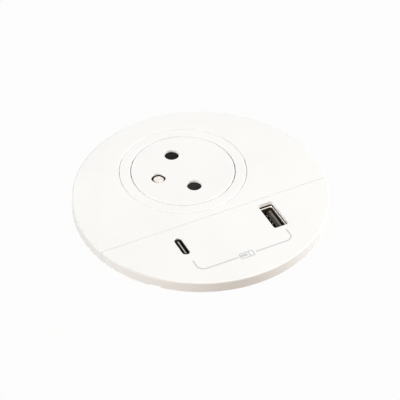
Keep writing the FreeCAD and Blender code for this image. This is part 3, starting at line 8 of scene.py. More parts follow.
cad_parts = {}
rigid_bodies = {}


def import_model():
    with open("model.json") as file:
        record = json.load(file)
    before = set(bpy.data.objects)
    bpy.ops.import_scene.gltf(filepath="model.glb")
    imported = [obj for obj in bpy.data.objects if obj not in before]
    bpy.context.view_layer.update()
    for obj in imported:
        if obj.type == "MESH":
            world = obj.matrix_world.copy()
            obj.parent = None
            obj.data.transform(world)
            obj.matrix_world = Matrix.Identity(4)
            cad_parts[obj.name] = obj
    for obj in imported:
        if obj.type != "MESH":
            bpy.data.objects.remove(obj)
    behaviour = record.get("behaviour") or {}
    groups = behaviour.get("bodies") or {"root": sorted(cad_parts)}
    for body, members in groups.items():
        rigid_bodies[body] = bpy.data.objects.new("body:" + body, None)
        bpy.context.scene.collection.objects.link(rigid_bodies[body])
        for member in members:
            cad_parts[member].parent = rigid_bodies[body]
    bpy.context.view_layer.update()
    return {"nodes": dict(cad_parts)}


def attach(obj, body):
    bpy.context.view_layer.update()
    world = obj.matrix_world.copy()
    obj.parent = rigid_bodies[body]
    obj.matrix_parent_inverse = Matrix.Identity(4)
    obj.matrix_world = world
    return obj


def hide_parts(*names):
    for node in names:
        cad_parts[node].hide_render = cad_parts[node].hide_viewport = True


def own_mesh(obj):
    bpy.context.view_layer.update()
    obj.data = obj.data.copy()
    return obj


# Round desk socket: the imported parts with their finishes, and finer pieces modelled around them.

for spare in list(bpy.data.objects):
    bpy.data.objects.remove(spare)
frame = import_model()
nodes = frame["nodes"]
scene = bpy.context.scene
mm = 0.001
print("frame loaded with", len(nodes), "nodes")


# Camera, light and floor

view = {
    "azimuth": -26.47,          # degrees, fitted to the rim, both rings and the seam
    "elevation": 41.91,
    "distance": 828.4,          # mm from the origin
    "focalPixels": 2264.5,      # focal length in pixels of the 400 pixel frame
    "originPixel": (200.65, 202.57),
    "frame": 400,
    "sensor": 36.0,             # mm
    "clip": (0.02, 20),         # m
}


def makeCamera(v):
    turn, lift = math.radians(v["azimuth"]), math.radians(v["elevation"])
    back = Vector((math.sin(turn) * math.cos(lift), -math.cos(turn) * math.cos(lift), math.sin(lift)))
    right = Vector((math.cos(turn), math.sin(turn), 0))
    up = back.cross(right)
    middle = v["frame"] / 2
    across = (v["originPixel"][0] - middle) / v["focalPixels"] * v["distance"]
    down = (v["originPixel"][1] - middle) / v["focalPixels"] * v["distance"]
    spot = (back * v["distance"] - right * across + up * down) * mm
    data = bpy.data.cameras.new("photoView")
    data.sensor_width = v["sensor"]
    data.lens = v["focalPixels"] / v["frame"] * v["sensor"]
    data.clip_start, data.clip_end = v["clip"]
    camera = bpy.data.objects.new("photoView", data)
    turned = Matrix((right, up, back)).transposed().to_4x4()
    camera.matrix_world = Matrix.Translation(spot) @ turned
    scene.collection.objects.link(camera)
    scene.camera = camera


white, cool, warm = (1.0, 1.0, 1.0), (0.98, 1.0, 1.02), (1.0, 0.885, 0.79)   # tints of light
lamps = {   # places and sizes in metres, power in watts; each lamp looks at the origin
    "overhead": {"place": (-0.10, 0.80, 1.45), "size": 1.2, "power": 1.9, "tint": white},
    "leftFill": {"place": (-1.55, 0.15, 0.65), "size": 0.9, "power": 16.0, "tint": cool},
    "rightFill": {"place": (1.55, -0.25, 0.65), "size": 0.9, "power": 28.5, "tint": cool},
    "frontCard": {"place": (-0.45, -1.35, 0.90), "size": 1.0, "power": 10.8, "tint": warm},
}
studioGlow = 0.2   # what matt surfaces receive from all round


def makeLamps(rows):
    for name, row in rows.items():
        data = bpy.data.lights.new(name, "AREA")
        data.shape = "DISK"
        data.size = row["size"]
        data.energy = row["power"]
        data.color = row["tint"]
        lamp = bpy.data.objects.new(name, data)
        lamp.location = row["place"]
        lamp.rotation_euler = Vector(row["place"]).to_track_quat("Z", "Y").to_euler()
        scene.collection.objects.link(lamp)


def screenColor(red, green, blue):   # 0 to 255 on a screen, made linear
    def linear(c):
        c /= 255
        return c / 12.92 if c <= 0.04045 else ((c + 0.055) / 1.055) ** 2.4
    return linear(red), linear(green), linear(blue), 1.0


class Wire:   # a node's output that takes part in Python expressions
    def __init__(self, paint, socket):
        self.paint, self.socket = paint, socket

    def maths(self, operation, *inputs):
        return self.paint.node("ShaderNodeMath", {"operation": operation}, dict(enumerate(inputs)))

    def __add__(self, other):
        return self.maths("ADD", self, other)

    def __radd__(self, other):
        return self.maths("ADD", other, self)

    def __sub__(self, other):
        return self.maths("SUBTRACT", self, other)

    def __rsub__(self, other):
        return self.maths("SUBTRACT", other, self)

    def __mul__(self, other):
        return self.maths("MULTIPLY", self, other)

    def __rmul__(self, other):
        return self.maths("MULTIPLY", other, self)

    def step(self, low, high):   # 0 below low, 1 above high, smooth between
        return self.paint.node("ShaderNodeMapRange", {"interpolation_type": "SMOOTHSTEP", "clamp": True},
                               {"Value": self, "From Min": low, "From Max": high})


class Paint:   # one node tree, of a material or of the world
    def __init__(self, owner):
        owner.use_nodes = True
        self.owner, self.tree = owner, owner.node_tree

    def node(self, kind, settings=None, inputs=None, output=0):
        made = self.tree.nodes.new(kind)
        for key, value in (settings or {}).items():
            setattr(made, key, value)
        for key, value in (inputs or {}).items():
            self.feed(made.inputs[key], value)
        return Wire(self, made.outputs[output])

    def feed(self, socket, value):
        if isinstance(value, Wire):
            self.tree.links.new(value.socket, socket)
        else:
            socket.default_value = value

    def place(self, scale=(1, 1, 1), move=(0, 0, 0)):
        here = self.node("ShaderNodeTexCoord", output="Object")
        return self.node("ShaderNodeMapping", {}, {"Vector": here, "Scale": scale, "Location": move})

    def along(self, axis):   # metres along X, Y or Z
        return self.node("ShaderNodeSeparateXYZ", {}, {"Vector": self.place()}, axis)

    def noise(self, size, detail=3, rough=0.5, where=None):   # size of a blot in mm
        where = where or self.place()
        return self.node("ShaderNodeTexNoise", {}, {"Vector": where, "Scale": 1 / (size * mm), "Detail": detail,
                                                    "Roughness": rough}, "Fac")

    def lines(self, size, stretch):   # fine lines of a width in mm, drawn out where stretch is below 1
        return self.noise(size, detail=2, where=self.place(stretch))

    def seen(self):   # 1 on the camera's rays, straight or by way of gloss or glass
        rays = [self.node("ShaderNodeLightPath", output=f"Is {ray} Ray")
                for ray in ("Camera", "Glossy", "Transmission")]
        return rays[0].maths("MAXIMUM", rays[0], rays[1].maths("MAXIMUM", rays[1], rays[2]))

    def mix(self, mask, first, second):
        return self.node("ShaderNodeMix", {"data_type": "RGBA"}, {0: mask, 6: first, 7: second}, 2)

    def tones(self, mask, pair):   # from one colour on a screen to another
        return self.mix(mask, *(screenColor(*tone) for tone in pair))

    def bump(self, height, depth):   # depth in mm
        return self.node("ShaderNodeBump", {}, {"Height": height, "Distance": depth * mm, "Strength": 1.0})


def surface(name, **sockets):
    paint = Paint(bpy.data.materials.new(name))
    paint.shader = next(n for n in paint.tree.nodes if n.type == "BSDF_PRINCIPLED")
    return dress(paint, **sockets)


def dress(paint, **sockets):   # sockets of the principled shader by name, such as BaseColor
    for key, value in sockets.items():
        words = "".join(" " + c if c.isupper() else c for c in key).strip().title()
        paint.feed(paint.shader.inputs[{"Ior": "IOR"}.get(words, words)], value)
    return paint


def makeWorld():   # the camera and gloss see plain white
    world = bpy.data.worlds.new("studio")
    scene.world = world
    paint = Paint(world)
    glow = next(n for n in paint.tree.nodes if n.type == "BACKGROUND")
    paint.feed(glow.inputs["Color"], (*white, 1.0))
    paint.feed(glow.inputs["Strength"], paint.seen() * (1 - studioGlow) + studioGlow)


deskLook = {
    "rings": (40.0, 300, 4000),  # mm: the desk's own hole, the near top, the far edge
    "segments": 128,
    "drop": 0.03,                # mm below the rim's foot
    "bounce": (140, 126, 112),   # what the rim receives from a pale wooden desk
    "white": 0.975,              # share of plain white that the camera sees
}


def makeFloor(s):   # matt under the object, and nearly white where the camera and gloss see it
    shape = bmesh.new()
    rings = []
    for radius in s["rings"]:
        made = bmesh.ops.create_circle(shape, cap_ends=False, segments=s["segments"], radius=radius * mm)
        rings.append(list(dict.fromkeys(e for v in made["verts"] for e in v.link_edges)))
    for inner, outer in zip(rings, rings[1:]):
        bmesh.ops.bridge_loops(shape, edges=inner + outer)
    bmesh.ops.recalc_face_normals(shape, faces=shape.faces)
    if shape.faces[:][0].normal.z < 0:
        bmesh.ops.reverse_faces(shape, faces=shape.faces)
    bmesh.ops.translate(shape, vec=(0, 0, -s["drop"] * mm), verts=shape.verts)
    floor = addPiece("deskTop", shape)
    paint = Paint(bpy.data.materials.new("deskTop"))
    output = next(n for n in paint.tree.nodes if n.type == "OUTPUT_MATERIAL")
    matt = paint.node("ShaderNodeBsdfDiffuse", {}, {"Color": screenColor(*s["bounce"])})
    glow = paint.node("ShaderNodeEmission", {}, {"Strength": 1.0})
    shown = paint.node("ShaderNodeMixShader", {}, {0: paint.seen() * s["white"], 1: matt, 2: glow})
    paint.feed(output.inputs["Surface"], shown)
    floor.data.materials.append(paint.owner)


def addPiece(name, shape, smooth=False):   # turns a finished bmesh into an object
    data = bpy.data.meshes.new(name)
    for face in shape.faces:
        face.smooth = smooth
    shape.to_mesh(data)
    shape.free()
    piece = bpy.data.objects.new(name, data)
    scene.collection.objects.link(piece)
    return piece


scene.view_settings.view_transform = "Standard"
makeCamera(view)
makeLamps(lamps)
makeWorld()
makeFloor(deskLook)
print("camera, lamps and desk top made")


# Finishes

plasticLooks = {   # two colours on a screen, sizes in mm, roughness and how much it varies
    "white_plastic": {"low": (249, 249, 247), "high": (252, 252, 250), "blot": 28, "grain": 0.22, "depth": 0.006,
                      "rough": 0.34, "spread": 0.12},
    "black_plastic": {"low": (25, 25, 27), "high": (33, 33, 35), "blot": 15, "grain": 0.35, "depth": 0.03,
                      "rough": 0.40, "spread": 0.18},
    "shutter_black": {"low": (18, 18, 17), "high": (54, 53, 51), "blot": 11, "grain": 0.25, "depth": 0.01,
                      "rough": 0.5, "spread": 0.16, "ior": 1.16},
    "tongue_black": {"low": (20, 20, 21), "high": (29, 29, 30), "blot": 4, "grain": 0.15, "depth": 0.004,
                     "rough": 0.36, "spread": 0.12},
    "terminal_grey": {"low": (160, 162, 163), "high": (176, 177, 177), "blot": 9, "grain": 0.3, "depth": 0.012,
                      "rough": 0.42, "spread": 0.14},
    "seal_rubber": {"low": (26, 26, 26), "high": (38, 37, 36), "blot": 3, "grain": 0.2, "depth": 0.02,
                    "rough": 0.66, "spread": 0.16},
    "choke_sleeve": {"low": (22, 22, 24), "high": (34, 34, 37), "blot": 3, "grain": 0.6, "depth": 0.05,
                     "rough": 0.26, "spread": 0.16},
    "fuse_case": {"low": (86, 48, 34), "high": (104, 60, 42), "blot": 5, "grain": 0.4, "depth": 0.01,
                  "rough": 0.26, "spread": 0.14},
    "ceramic_blue": {"low": (38, 78, 146), "high": (58, 102, 172), "blot": 3, "grain": 0.7, "depth": 0.04,
                     "rough": 0.22, "spread": 0.14, "coat": 0.6},
    "chip_black": {"low": (30, 30, 31), "high": (41, 41, 42), "blot": 2, "grain": 0.09, "depth": 0.012,
                   "rough": 0.52, "spread": 0.2},
    "divider_film": {"low": (214, 208, 190), "high": (228, 223, 208), "blot": 12, "grain": 1.4, "depth": 0.02,
                     "rough": 0.30, "spread": 0.16},
    "ferrite": {"low": (44, 44, 47), "high": (62, 62, 64), "blot": 4, "grain": 0.12, "depth": 0.02,
                "rough": 0.48, "spread": 0.22},
    "wire_brown": {"low": (84, 48, 30), "high": (104, 62, 40), "blot": 6, "grain": 0.5, "depth": 0.012,
                   "rough": 0.34, "spread": 0.14},
    "wire_blue": {"low": (26, 78, 160), "high": (42, 98, 184), "blot": 6, "grain": 0.5, "depth": 0.012,
                  "rough": 0.34, "spread": 0.14},
    "wire_black": {"low": (24, 24, 25), "high": (36, 36, 37), "blot": 6, "grain": 0.5, "depth": 0.012,
                   "rough": 0.36, "spread": 0.14},
}
metalLooks = {   # brushed stretches the fine lines along one axis
    "spring_steel": {"low": (138, 139, 142), "high": (170, 171, 174), "blot": 3, "grain": 0.08, "depth": 0.004,
                     "brushed": (1, 1, 1), "rough": 0.22, "spread": 0.2, "metal": 1.0},
    "zinc_steel": {"low": (178, 182, 186), "high": (208, 206, 196), "blot": 2.2, "grain": 0.10, "depth": 0.004,
                   "brushed": (1, 1, 0.5), "rough": 0.24, "spread": 0.24, "metal": 1.0},
    # shell_dark is painted shade: steel coloured dark brown and half matt, so the oval port's shell reads as
    # shaded inside its opening
    "shell_dark": {"low": (58, 49, 44), "high": (72, 62, 57), "blot": 2.5, "grain": 0.09, "depth": 0.003,
                   "brushed": (1, 1, 0.12), "rough": 0.4, "spread": 0.22, "metal": 0.5},
    "contact_brass": {"low": (188, 146, 74), "high": (218, 180, 104), "blot": 2.4, "grain": 0.10, "depth": 0.004,
                      "brushed": (0.2, 1, 1), "rough": 0.26, "spread": 0.22, "metal": 1.0},
    # gold_contact is greyed and darkened from gold: partly the contacts' own greyish plating, partly painted
    # shade where they lie deep in the wide port
    "gold_contact": {"low": (138, 130, 117), "high": (162, 154, 140), "blot": 0.8, "grain": 0.05, "depth": 0.002,
                     "brushed": (1, 1, 0.2), "rough": 0.18, "spread": 0.16, "metal": 1.0},
    "die_cast": {"low": (128, 129, 130), "high": (158, 158, 157), "blot": 3, "grain": 0.25, "depth": 0.05,
                 "brushed": (1, 1, 1), "rough": 0.38, "spread": 0.26, "metal": 0.9},
}


shading = {   # what all plastics and metals have in common
    "ior": 1.5, "plasticBlend": (0.3, 0.7), "plasticFlow": 0.05, "fineness": 0.62, "coatRough": 0.06,
    "metalBlend": (0.32, 0.7), "metalStain": 0.06,
    "even": 0.3,   # the value of a noise at which roughness is as written
}


def plastic(name, look):
    paint = surface(name, Ior=look.get("ior", shading["ior"]))
    flow, grain = paint.noise(look["blot"]), paint.noise(look["grain"], rough=shading["fineness"])
    tone = paint.tones(flow.step(*shading["plasticBlend"]), (look["low"], look["high"]))
    if "coat" in look:
        dress(paint, CoatWeight=look["coat"], CoatRoughness=shading["coatRough"])
    rough = look["rough"] + look["spread"] * (grain - shading["even"]) + shading["plasticFlow"] * flow
    return dress(paint, BaseColor=tone, Roughness=rough, Normal=paint.bump(grain, look["depth"]))


def metal(name, look):
    paint = surface(name, Metallic=look["metal"])
    stain, lines = paint.noise(look["blot"]), paint.lines(look["grain"], look["brushed"])
    tone = paint.tones(stain.step(*shading["metalBlend"]), (look["low"], look["high"]))
    rough = look["rough"] + look["spread"] * (lines - shading["even"]) + shading["metalStain"] * stain
    return dress(paint, BaseColor=tone, Roughness=rough, Normal=paint.bump(lines, look["depth"]))


pinLook = {   # mm: brighter on its tip, painted shade, dark brown, on its sides from the shoulder up where they stand in the hole, plain nickel lower down its sides
    "middle": (-9.85, 14.7),
    "side": (1.88, 2.1), "sideWaver": 0.2,            # from the middle outwards, where the rubbed tip ends
    "shoulder": (1.9, 3.0), "shoulderWaver": 0.6,     # in height, where the painted shade begins
    "tip": ((226, 215, 204), (254, 248, 242)), "flankShaded": ((186, 181, 174), (104, 92, 82)),
    "blot": 1.1, "grain": 0.1, "brushed": (1, 1, 0.25), "depth": 0.003,
    "rough": 0.26, "spread": 0.2, "sideRough": 0.12, "metal": 0.85,
}


def nickelPin(look):
    paint = surface("nickel_pin", Metallic=look["metal"])
    x, y = look["middle"]
    flat = paint.place(scale=(1, 1, 0), move=(-x * mm, -y * mm, 0))
    away = paint.node("ShaderNodeVectorMath", {"operation": "LENGTH"}, {0: flat}, "Value")
    stain, lines = paint.noise(look["blot"]), paint.lines(look["grain"], look["brushed"])
    tip = paint.tones(stain.step(*shading["metalBlend"]), look["tip"])
    side = (away + stain * (look["sideWaver"] * mm)).step(*(reach * mm for reach in look["side"]))
    raised = paint.along("Z") + stain * (look["shoulderWaver"] * mm)
    # painted shade: the pin's sides turn dark brown above the shoulder, standing for the shade in the hole
    flankShaded = paint.tones(raised.step(*(level * mm for level in look["shoulder"])), look["flankShaded"])
    rough = look["rough"] + look["spread"] * (lines - shading["even"]) + look["sideRough"] * side
    return dress(paint, BaseColor=paint.mix(side, tip, flankShaded), Roughness=rough,
                 Normal=paint.bump(lines, look["depth"]))


shellLook = {   # mm: folded sheet, with a painted highlight, near white, on its rolled mouth, and painted shade, dark brown, in the depth below it
    "mouth": (1.9, 2.15), "waver": 0.3,     # in height
    "dull": ((86, 74, 67), (108, 96, 87)), "bright": (246, 240, 232),
    "blot": 2.5, "grain": 0.09, "brushed": (1, 1, 0.12), "depth": 0.003,
    "rough": 0.3, "spread": 0.2, "mouthRough": 0.06, "metal": 0.5,
}


def shellSteel(look):
    paint = surface("shell_steel")
    stain, lines = paint.noise(look["blot"]), paint.lines(look["grain"], look["brushed"])
    raised = paint.along("Z") + stain * (look["waver"] * mm)
    mouth = raised.step(*(level * mm for level in look["mouth"]))
    # painted shade: below the mouth the steel takes a dark brown colour that stands for the shade inside the
    # port
    dull = paint.tones(stain.step(*shading["metalBlend"]), look["dull"])
    rough = look["rough"] + look["spread"] * (lines - shading["even"]) - look["mouthRough"] * mouth
    # painted highlight: at the mouth the steel turns near white and fully metallic
    return dress(paint, BaseColor=paint.mix(mouth, dull, screenColor(*look["bright"])), Roughness=rough,
                 Metallic=look["metal"] + (1 - look["metal"]) * mouth, Normal=paint.bump(lines, look["depth"]))


tongueLooks = {   # mm along X: a paler core within reach of its middle, and painted shade, dark, on the rest of the tongue; colours of the shade and of the core
    "tongue_grey": {"middle": 19.85, "reach": 0.5, "skin": ((44, 38, 35), (58, 51, 47)),
                    "core": ((122, 118, 114), (138, 134, 130))},
    "tongue_pale": {"middle": -18.3, "reach": 0.22, "skin": ((26, 25, 24), (36, 34, 33)),
                    "core": ((184, 180, 175), (204, 200, 196))},
}
tongueShading = {"soft": 0.04, "blot": 3, "grain": 0.15, "depth": 0.004, "rough": 0.36, "spread": 0.14}


def tongueCore(name, look, s):
    paint = surface(name, Ior=shading["ior"])
    flow, grain = paint.noise(s["blot"]), paint.noise(s["grain"], rough=shading["fineness"])
    away = paint.along("X") - look["middle"] * mm
    edges = [(look["reach"] + side * s["soft"] / 2) * mm for side in (-1, 1)]
    core = 1 - away.maths("ABSOLUTE", away).step(*edges)
    # painted shade: outside the core the tongue takes a dark colour that stands for the shade on its sides
    tone = paint.mix(core, paint.tones(flow, look["skin"]), paint.tones(flow, look["core"]))
    return dress(paint, BaseColor=tone, Roughness=s["rough"] + s["spread"] * grain,
                 Normal=paint.bump(grain, s["depth"]))


boardLook = {   # green lacquer over copper fields, with tinned pads; fields and pads to the metre
    "ior": 1.52, "fields": 210, "fieldEdge": (0.035, 0.06), "lacquer": ((10, 62, 38), (22, 98, 58)),
    "pads": 330, "padEdge": (0.14, 0.2), "padMove": (1.7, 0.9, 0), "tin": (196, 198, 196), "tinMetal": 0.9,
    "grain": 0.2, "depth": 0.035,     # mm
    "relief": (0.6, 0.2),             # of the fields and of the grain, beside the pads' own
    "rough": 0.24, "spread": 0.14, "padRough": 0.1,
}


def boardLacquer(look):
    paint = surface("board_green", Ior=look["ior"])
    moved = paint.place(move=[step * mm for step in look["padMove"]])
    fields = paint.node("ShaderNodeTexVoronoi", {"feature": "DISTANCE_TO_EDGE"},
                        {"Vector": paint.place(), "Scale": look["fields"]})
    dots = paint.node("ShaderNodeTexVoronoi", {"feature": "F1"}, {"Vector": moved, "Scale": look["pads"]})
    copper, pad = fields.step(*look["fieldEdge"]), 1 - dots.step(*look["padEdge"])
    grain = paint.noise(look["grain"])
    tone = paint.mix(pad, paint.tones(copper, look["lacquer"]), screenColor(*look["tin"]))
    relief = copper * look["relief"][0] + pad + grain * look["relief"][1]
    return dress(paint, BaseColor=tone, Metallic=pad * look["tinMetal"],
                 Roughness=look["rough"] + look["spread"] * grain + look["padRough"] * pad,
                 Normal=paint.bump(relief, look["depth"]))


tapeLook = {   # turns of yellow tape over the coil, one to each 3.5 mm at this scale
    "scale": 90, "waver": 0.6, "detail": 2.0, "tones": ((206, 158, 38), (236, 196, 84)), "share": (0.6, 0.3),
    "ior": 1.48, "grain": 0.5, "relief": 0.3, "depth": 0.05, "rough": 0.24, "spread": 0.18,
}


def windingTape(look):
    paint = surface("tape_yellow", Ior=look["ior"])
    bands = {"wave_type": "BANDS", "bands_direction": "Z", "wave_profile": "SAW"}
    wound = {"Vector": paint.place(), "Scale": look["scale"], "Distortion": look["waver"],
             "Detail": look["detail"]}
    turns = paint.node("ShaderNodeTexWave", bands, wound, "Fac")
    grain = paint.noise(look["grain"])
    tone = paint.tones(turns * look["share"][0] + grain * look["share"][1], look["tones"])
    return dress(paint, BaseColor=tone, Roughness=look["rough"] + look["spread"] * grain,
                 Normal=paint.bump(turns + grain * look["relief"], look["depth"]))


canLook = {   # shrunk sleeve of the round capacitors, darker in random blots
    "blot": 4, "detail": 2, "blend": (0.35, 0.65), "tones": ((26, 34, 66), (38, 50, 92)),
    "grain": 0.5, "depth": 0.03, "rough": 0.24, "spread": 0.16,
}


def canSleeve(look):
    paint = surface("can_sleeve", Ior=shading["ior"])
    flow, grain = paint.noise(look["blot"], look["detail"]), paint.noise(look["grain"])
    return dress(paint, BaseColor=paint.tones(flow.step(*look["blend"]), look["tones"]),
                 Roughness=look["rough"] + look["spread"] * grain,
                 Normal=paint.bump(grain + flow, look["depth"]))


stripeLook = {   # green and yellow halves, by the stripe attribute of the wire
    "edge": (0.45, 0.55), "tones": ((34, 132, 62), (232, 206, 44)),
    "grain": 0.5, "depth": 0.012, "rough": 0.32, "spread": 0.14,
}


def stripedWire(look):
    paint = surface("wire_green_yellow", Ior=shading["ior"])
    half = paint.node("ShaderNodeAttribute", {"attribute_name": "stripe"}, output="Fac")
    grain = paint.noise(look["grain"])
    return dress(paint, BaseColor=paint.tones(half.step(*look["edge"]), look["tones"]),
                 Roughness=look["rough"] + look["spread"] * grain, Normal=paint.bump(grain, look["depth"]))


printLook = {   # thin pale grey print on the cover
    "ior": 1.46, "blend": (0.35, 0.65), "tones": ((202, 204, 206), (210, 212, 213)),
    "grain": 0.12, "depth": 0.004, "rough": 0.42, "spread": 0.12,
}


def printedGrey(look):
    paint = surface("printed_grey", Ior=look["ior"])
    grain = paint.noise(look["grain"])
    return dress(paint, BaseColor=paint.tones(grain.step(*look["blend"]), look["tones"]),
                 Roughness=look["rough"] + look["spread"] * grain, Normal=paint.bump(grain, look["depth"]))


finishes = {slot: plastic(slot, look) for slot, look in plasticLooks.items()}
finishes.update({slot: metal(slot, look) for slot, look in metalLooks.items()})
finishes.update({slot: tongueCore(slot, look, tongueShading) for slot, look in tongueLooks.items()})
finishes.update({
    "nickel_pin": nickelPin(pinLook), "shell_steel": shellSteel(shellLook),
    "board_green": boardLacquer(boardLook), "tape_yellow": windingTape(tapeLook),
    "can_sleeve": canSleeve(canLook), "wire_green_yellow": stripedWire(stripeLook),
    "printed_grey": printedGrey(printLook),
})
slotOf = {name: part.data.materials[0].name.split(".")[0] for name, part in nodes.items()}
for name, part in nodes.items():
    part.data.materials[0] = finishes[slotOf[name]].owner
print("finishes made:", len(finishes))


# Pieces

def fitPiece(piece, body, slot, replaced=(), finish=None):   # finish is given where it isn't the slot's own
    piece.data.materials.append(finishes[finish or slot].owner)
    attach(piece, body)
    if replaced:
        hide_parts(*replaced)
    return piece


weld = {"node": 0.0005, "coil": 0.001, "thread": 0.002}   # mm within which points become one
softEdge = {"bend": 35, "segments": 2, "weight": 50}       # edges that bend more, in degrees, are softened


def evenShade(piece):   # flat faces stay flat, and the soft edges between them carry the turn
    shade = piece.modifiers.new("evenShade", "WEIGHTED_NORMAL")
    shade.mode, shade.weight = "FACE_AREA", softEdge["weight"]
    return piece


def nodeCopy(node):   # a merged copy of a solid's mesh
    shape = bmesh.new()
    shape.from_mesh(nodes[node].data)
    bmesh.ops.remove_doubles(shape, verts=shape.verts, dist=weld["node"] * mm)
    return shape


def softenEdges(shape, width):
    bend = math.radians(softEdge["bend"])
    sharp = [e for e in shape.edges if len(e.link_faces) == 2 and e.calc_face_angle() > bend]
    bmesh.ops.bevel(shape, geom=sharp, offset=width * mm, offset_type="OFFSET", affect="EDGES",
                    segments=softEdge["segments"], profile=0.5, material=-1, clamp_overlap=True)


def cutAt(shape, place, facing, drop=False):   # a flat cut; drop takes away what lies behind it
    return bmesh.ops.bisect_plane(shape, geom=shape.verts[:] + shape.edges[:] + shape.faces[:],
                                  plane_co=place, plane_no=facing, clear_inner=drop)


def madeEdges(made):
    return [e for e in made if isinstance(e, bmesh.types.BMEdge)]


def madeVerts(made):
    return [v for v in made if isinstance(v, bmesh.types.BMVert)]


softened = {   # node: piece name, body, width of the soft edge in mm, and a finish where it has its own
    "housing": ("barrelShell", "housing", 0.2),
    "rear_cover": ("rearPlate", "housing", 0.2),
    "gland_cap": ("glandDomeNut", "housing", 0.2),
    "gland_body": ("glandBodySoft", "housing", 0.2),
    "gland_locknut": ("glandLockRing", "housing", 0.2),
    "claw_right": ("clawCastRight", "claw_right", 0.25),
    "claw_left": ("clawCastLeft", "claw_left", 0.25),
    "claw_nut_right": ("clawNutRightSoft", "claw_nut_right", 0.15),
    "claw_nut_left": ("clawNutLeftSoft", "claw_nut_left", 0.15),
    "transformer_core": ("ferriteCore", "housing", 0.35),
    "terminal_block": ("terminalBody", "housing", 0.2),
    "port_a_tongue": ("portTongueWide", "housing", 0.15),
    "port_c_shell": ("portShellOval", "housing", 0.1, "shell_dark"),
    "port_c_tongue": ("portTongueOval", "housing", 0.12, "tongue_pale"),
    "controller_chips": ("chipCases", "housing", 0.12),
}


def makeSoftened(rows):
    for node, (name, body, width, *finish) in rows.items():
        shape = nodeCopy(node)
        softenEdges(shape, width)
        fitPiece(evenShade(addPiece(name, shape, smooth=True)), body, slotOf[node], (node,), *finish)


portShellSizes = {   # mm: the folded steel shell of the wide port
    "centre": (18.4, -21.7), "inside": (5.12, 12.5), "corner": 0.45, "cornerSteps": 4,
    "low": -11.0, "mouth": 2.25,
    "flare": ((-0.45, 0.0), (-0.3, 0.06), (-0.14, 0.11), (0.0, 0.13)),   # below the mouth, and outwards
    "wall": 0.28, "wallSide": 0.9,      # the wall lies nearly all outside the opening
    "rolled": 0.07, "rolledSteps": 2, "rolledBend": 40,
    "window": (2.3, -5.6, 0.7),         # width, low and high of each spring's window
    "springRows": (-3.1, 3.1),          # along the long walls
    "spring": ((-5.6, 0.0), (-4.3, 0.12), (-2.9, 0.38), (-1.7, 0.55), (-0.7, 0.50), (0.1, 0.24), (0.5, 0.10)),
    "springWidth": 1.6,
}


def bentStrip(shape, middle, width, path):   # sheet bent along a path of x and z, about its middle y, in mm
    (x, z), *rest = path
    ends = [shape.verts.new((x * mm, (middle + end * width / 2) * mm, z * mm)) for end in (-1, 1)]
    edge = shape.edges.new(ends)
    for x, z in rest:
        edge = madeEdges(bmesh.ops.extrude_edge_only(shape, edges=[edge])["geom"])[0]
        for vert in edge.verts:
            vert.co.x, vert.co.z = x * mm, z * mm


def makePortShell(s):
    shape = bmesh.new()
    wide, long = s["inside"][0] / 2 * mm, s["inside"][1] / 2 * mm
    base = bmesh.ops.create_grid(shape, x_segments=1, y_segments=1, size=1.0)["verts"]
    bmesh.ops.scale(shape, vec=(wide, long, 1), verts=base)
    bmesh.ops.bevel(shape, geom=base, offset=s["corner"] * mm, affect="VERTICES", segments=s["cornerSteps"],
                    profile=0.5, material=-1)
    bmesh.ops.translate(shape, vec=(0, 0, s["low"] * mm), verts=shape.verts)
    ring = shape.edges[:]
    bmesh.ops.delete(shape, geom=shape.faces[:], context="FACES_ONLY")
    for below, flare in s["flare"]:
        made = bmesh.ops.extrude_edge_only(shape, edges=ring)["geom"]
        verts, ring = madeVerts(made), madeEdges(made)
        bmesh.ops.translate(shape, vec=(0, 0, (s["mouth"] + below) * mm - verts[0].co.z), verts=verts)
        bmesh.ops.scale(shape, vec=(1 + flare * mm / wide, 1 + flare * mm / long, 1), verts=verts)
    width, low, high = s["window"]
    for row in s["springRows"]:
        for edge in (row - width / 2, row + width / 2):
            cutAt(shape, (0, edge * mm, 0), (0, 1, 0))
    for level in (low, high):
        cutAt(shape, (0, 0, level * mm), (0, 0, 1))
    gone = []
    for face in shape.faces:
        spot = face.calc_center_median() / mm
        beside = any(abs(spot.y - row) < width / 2 for row in s["springRows"])
        inLongWall = abs(face.normal.x) > abs(face.normal.y)
        if beside and low < spot.z < high and inLongWall:
            gone.append(face)
    bmesh.ops.delete(shape, geom=gone, context="FACES")
    for side in (1, -1):
        for row in s["springRows"]:
            path = [(side * (s["inside"][0] / 2 - inward), level) for level, inward in s["spring"]]
            bentStrip(shape, row, s["springWidth"], path)
    bmesh.ops.translate(shape, vec=(s["centre"][0] * mm, s["centre"][1] * mm, 0), verts=shape.verts)
    bmesh.ops.recalc_face_normals(shape, faces=shape.faces)
    piece = addPiece("portShellWide", shape, smooth=True)
    wall = piece.modifiers.new("sheetSteel", "SOLIDIFY")
    wall.thickness, wall.offset = s["wall"] * mm, s["wallSide"]
    edge = piece.modifiers.new("rolledEdge", "BEVEL")
    edge.width, edge.segments = s["rolled"] * mm, s["rolledSteps"]
    edge.limit_method, edge.angle_limit = "ANGLE", math.radians(s["rolledBend"])
    fitPiece(evenShade(piece), "housing", "shell_steel", ("port_a_shell",))


portContacts = {   # mm: sprung strips that bow out from the wide port's tongue
    "face": 18.46, "rows": (-25.2, -22.7, -20.7, -18.2), "width": 1.0, "plate": 0.12,
    "path": ((0.08, -7.4), (0.08, -1.8), (0.25, -0.7), (0.68, 0.25), (0.86, 0.7), (0.82, 1.0), (0.6, 1.2)),
}


def makePortContacts(s):
    shape = bmesh.new()
    for row in s["rows"]:
        bentStrip(shape, row, s["width"], [(s["face"] - out, level) for out, level in s["path"]])
    bmesh.ops.recalc_face_normals(shape, faces=shape.faces)
    piece = addPiece("portContactsWide", shape, smooth=True)
    plate = piece.modifiers.new("stripPlate", "SOLIDIFY")
    plate.thickness, plate.offset = s["plate"] * mm, 0
    fitPiece(evenShade(piece), "housing", "gold_contact", ("port_a_contacts",))


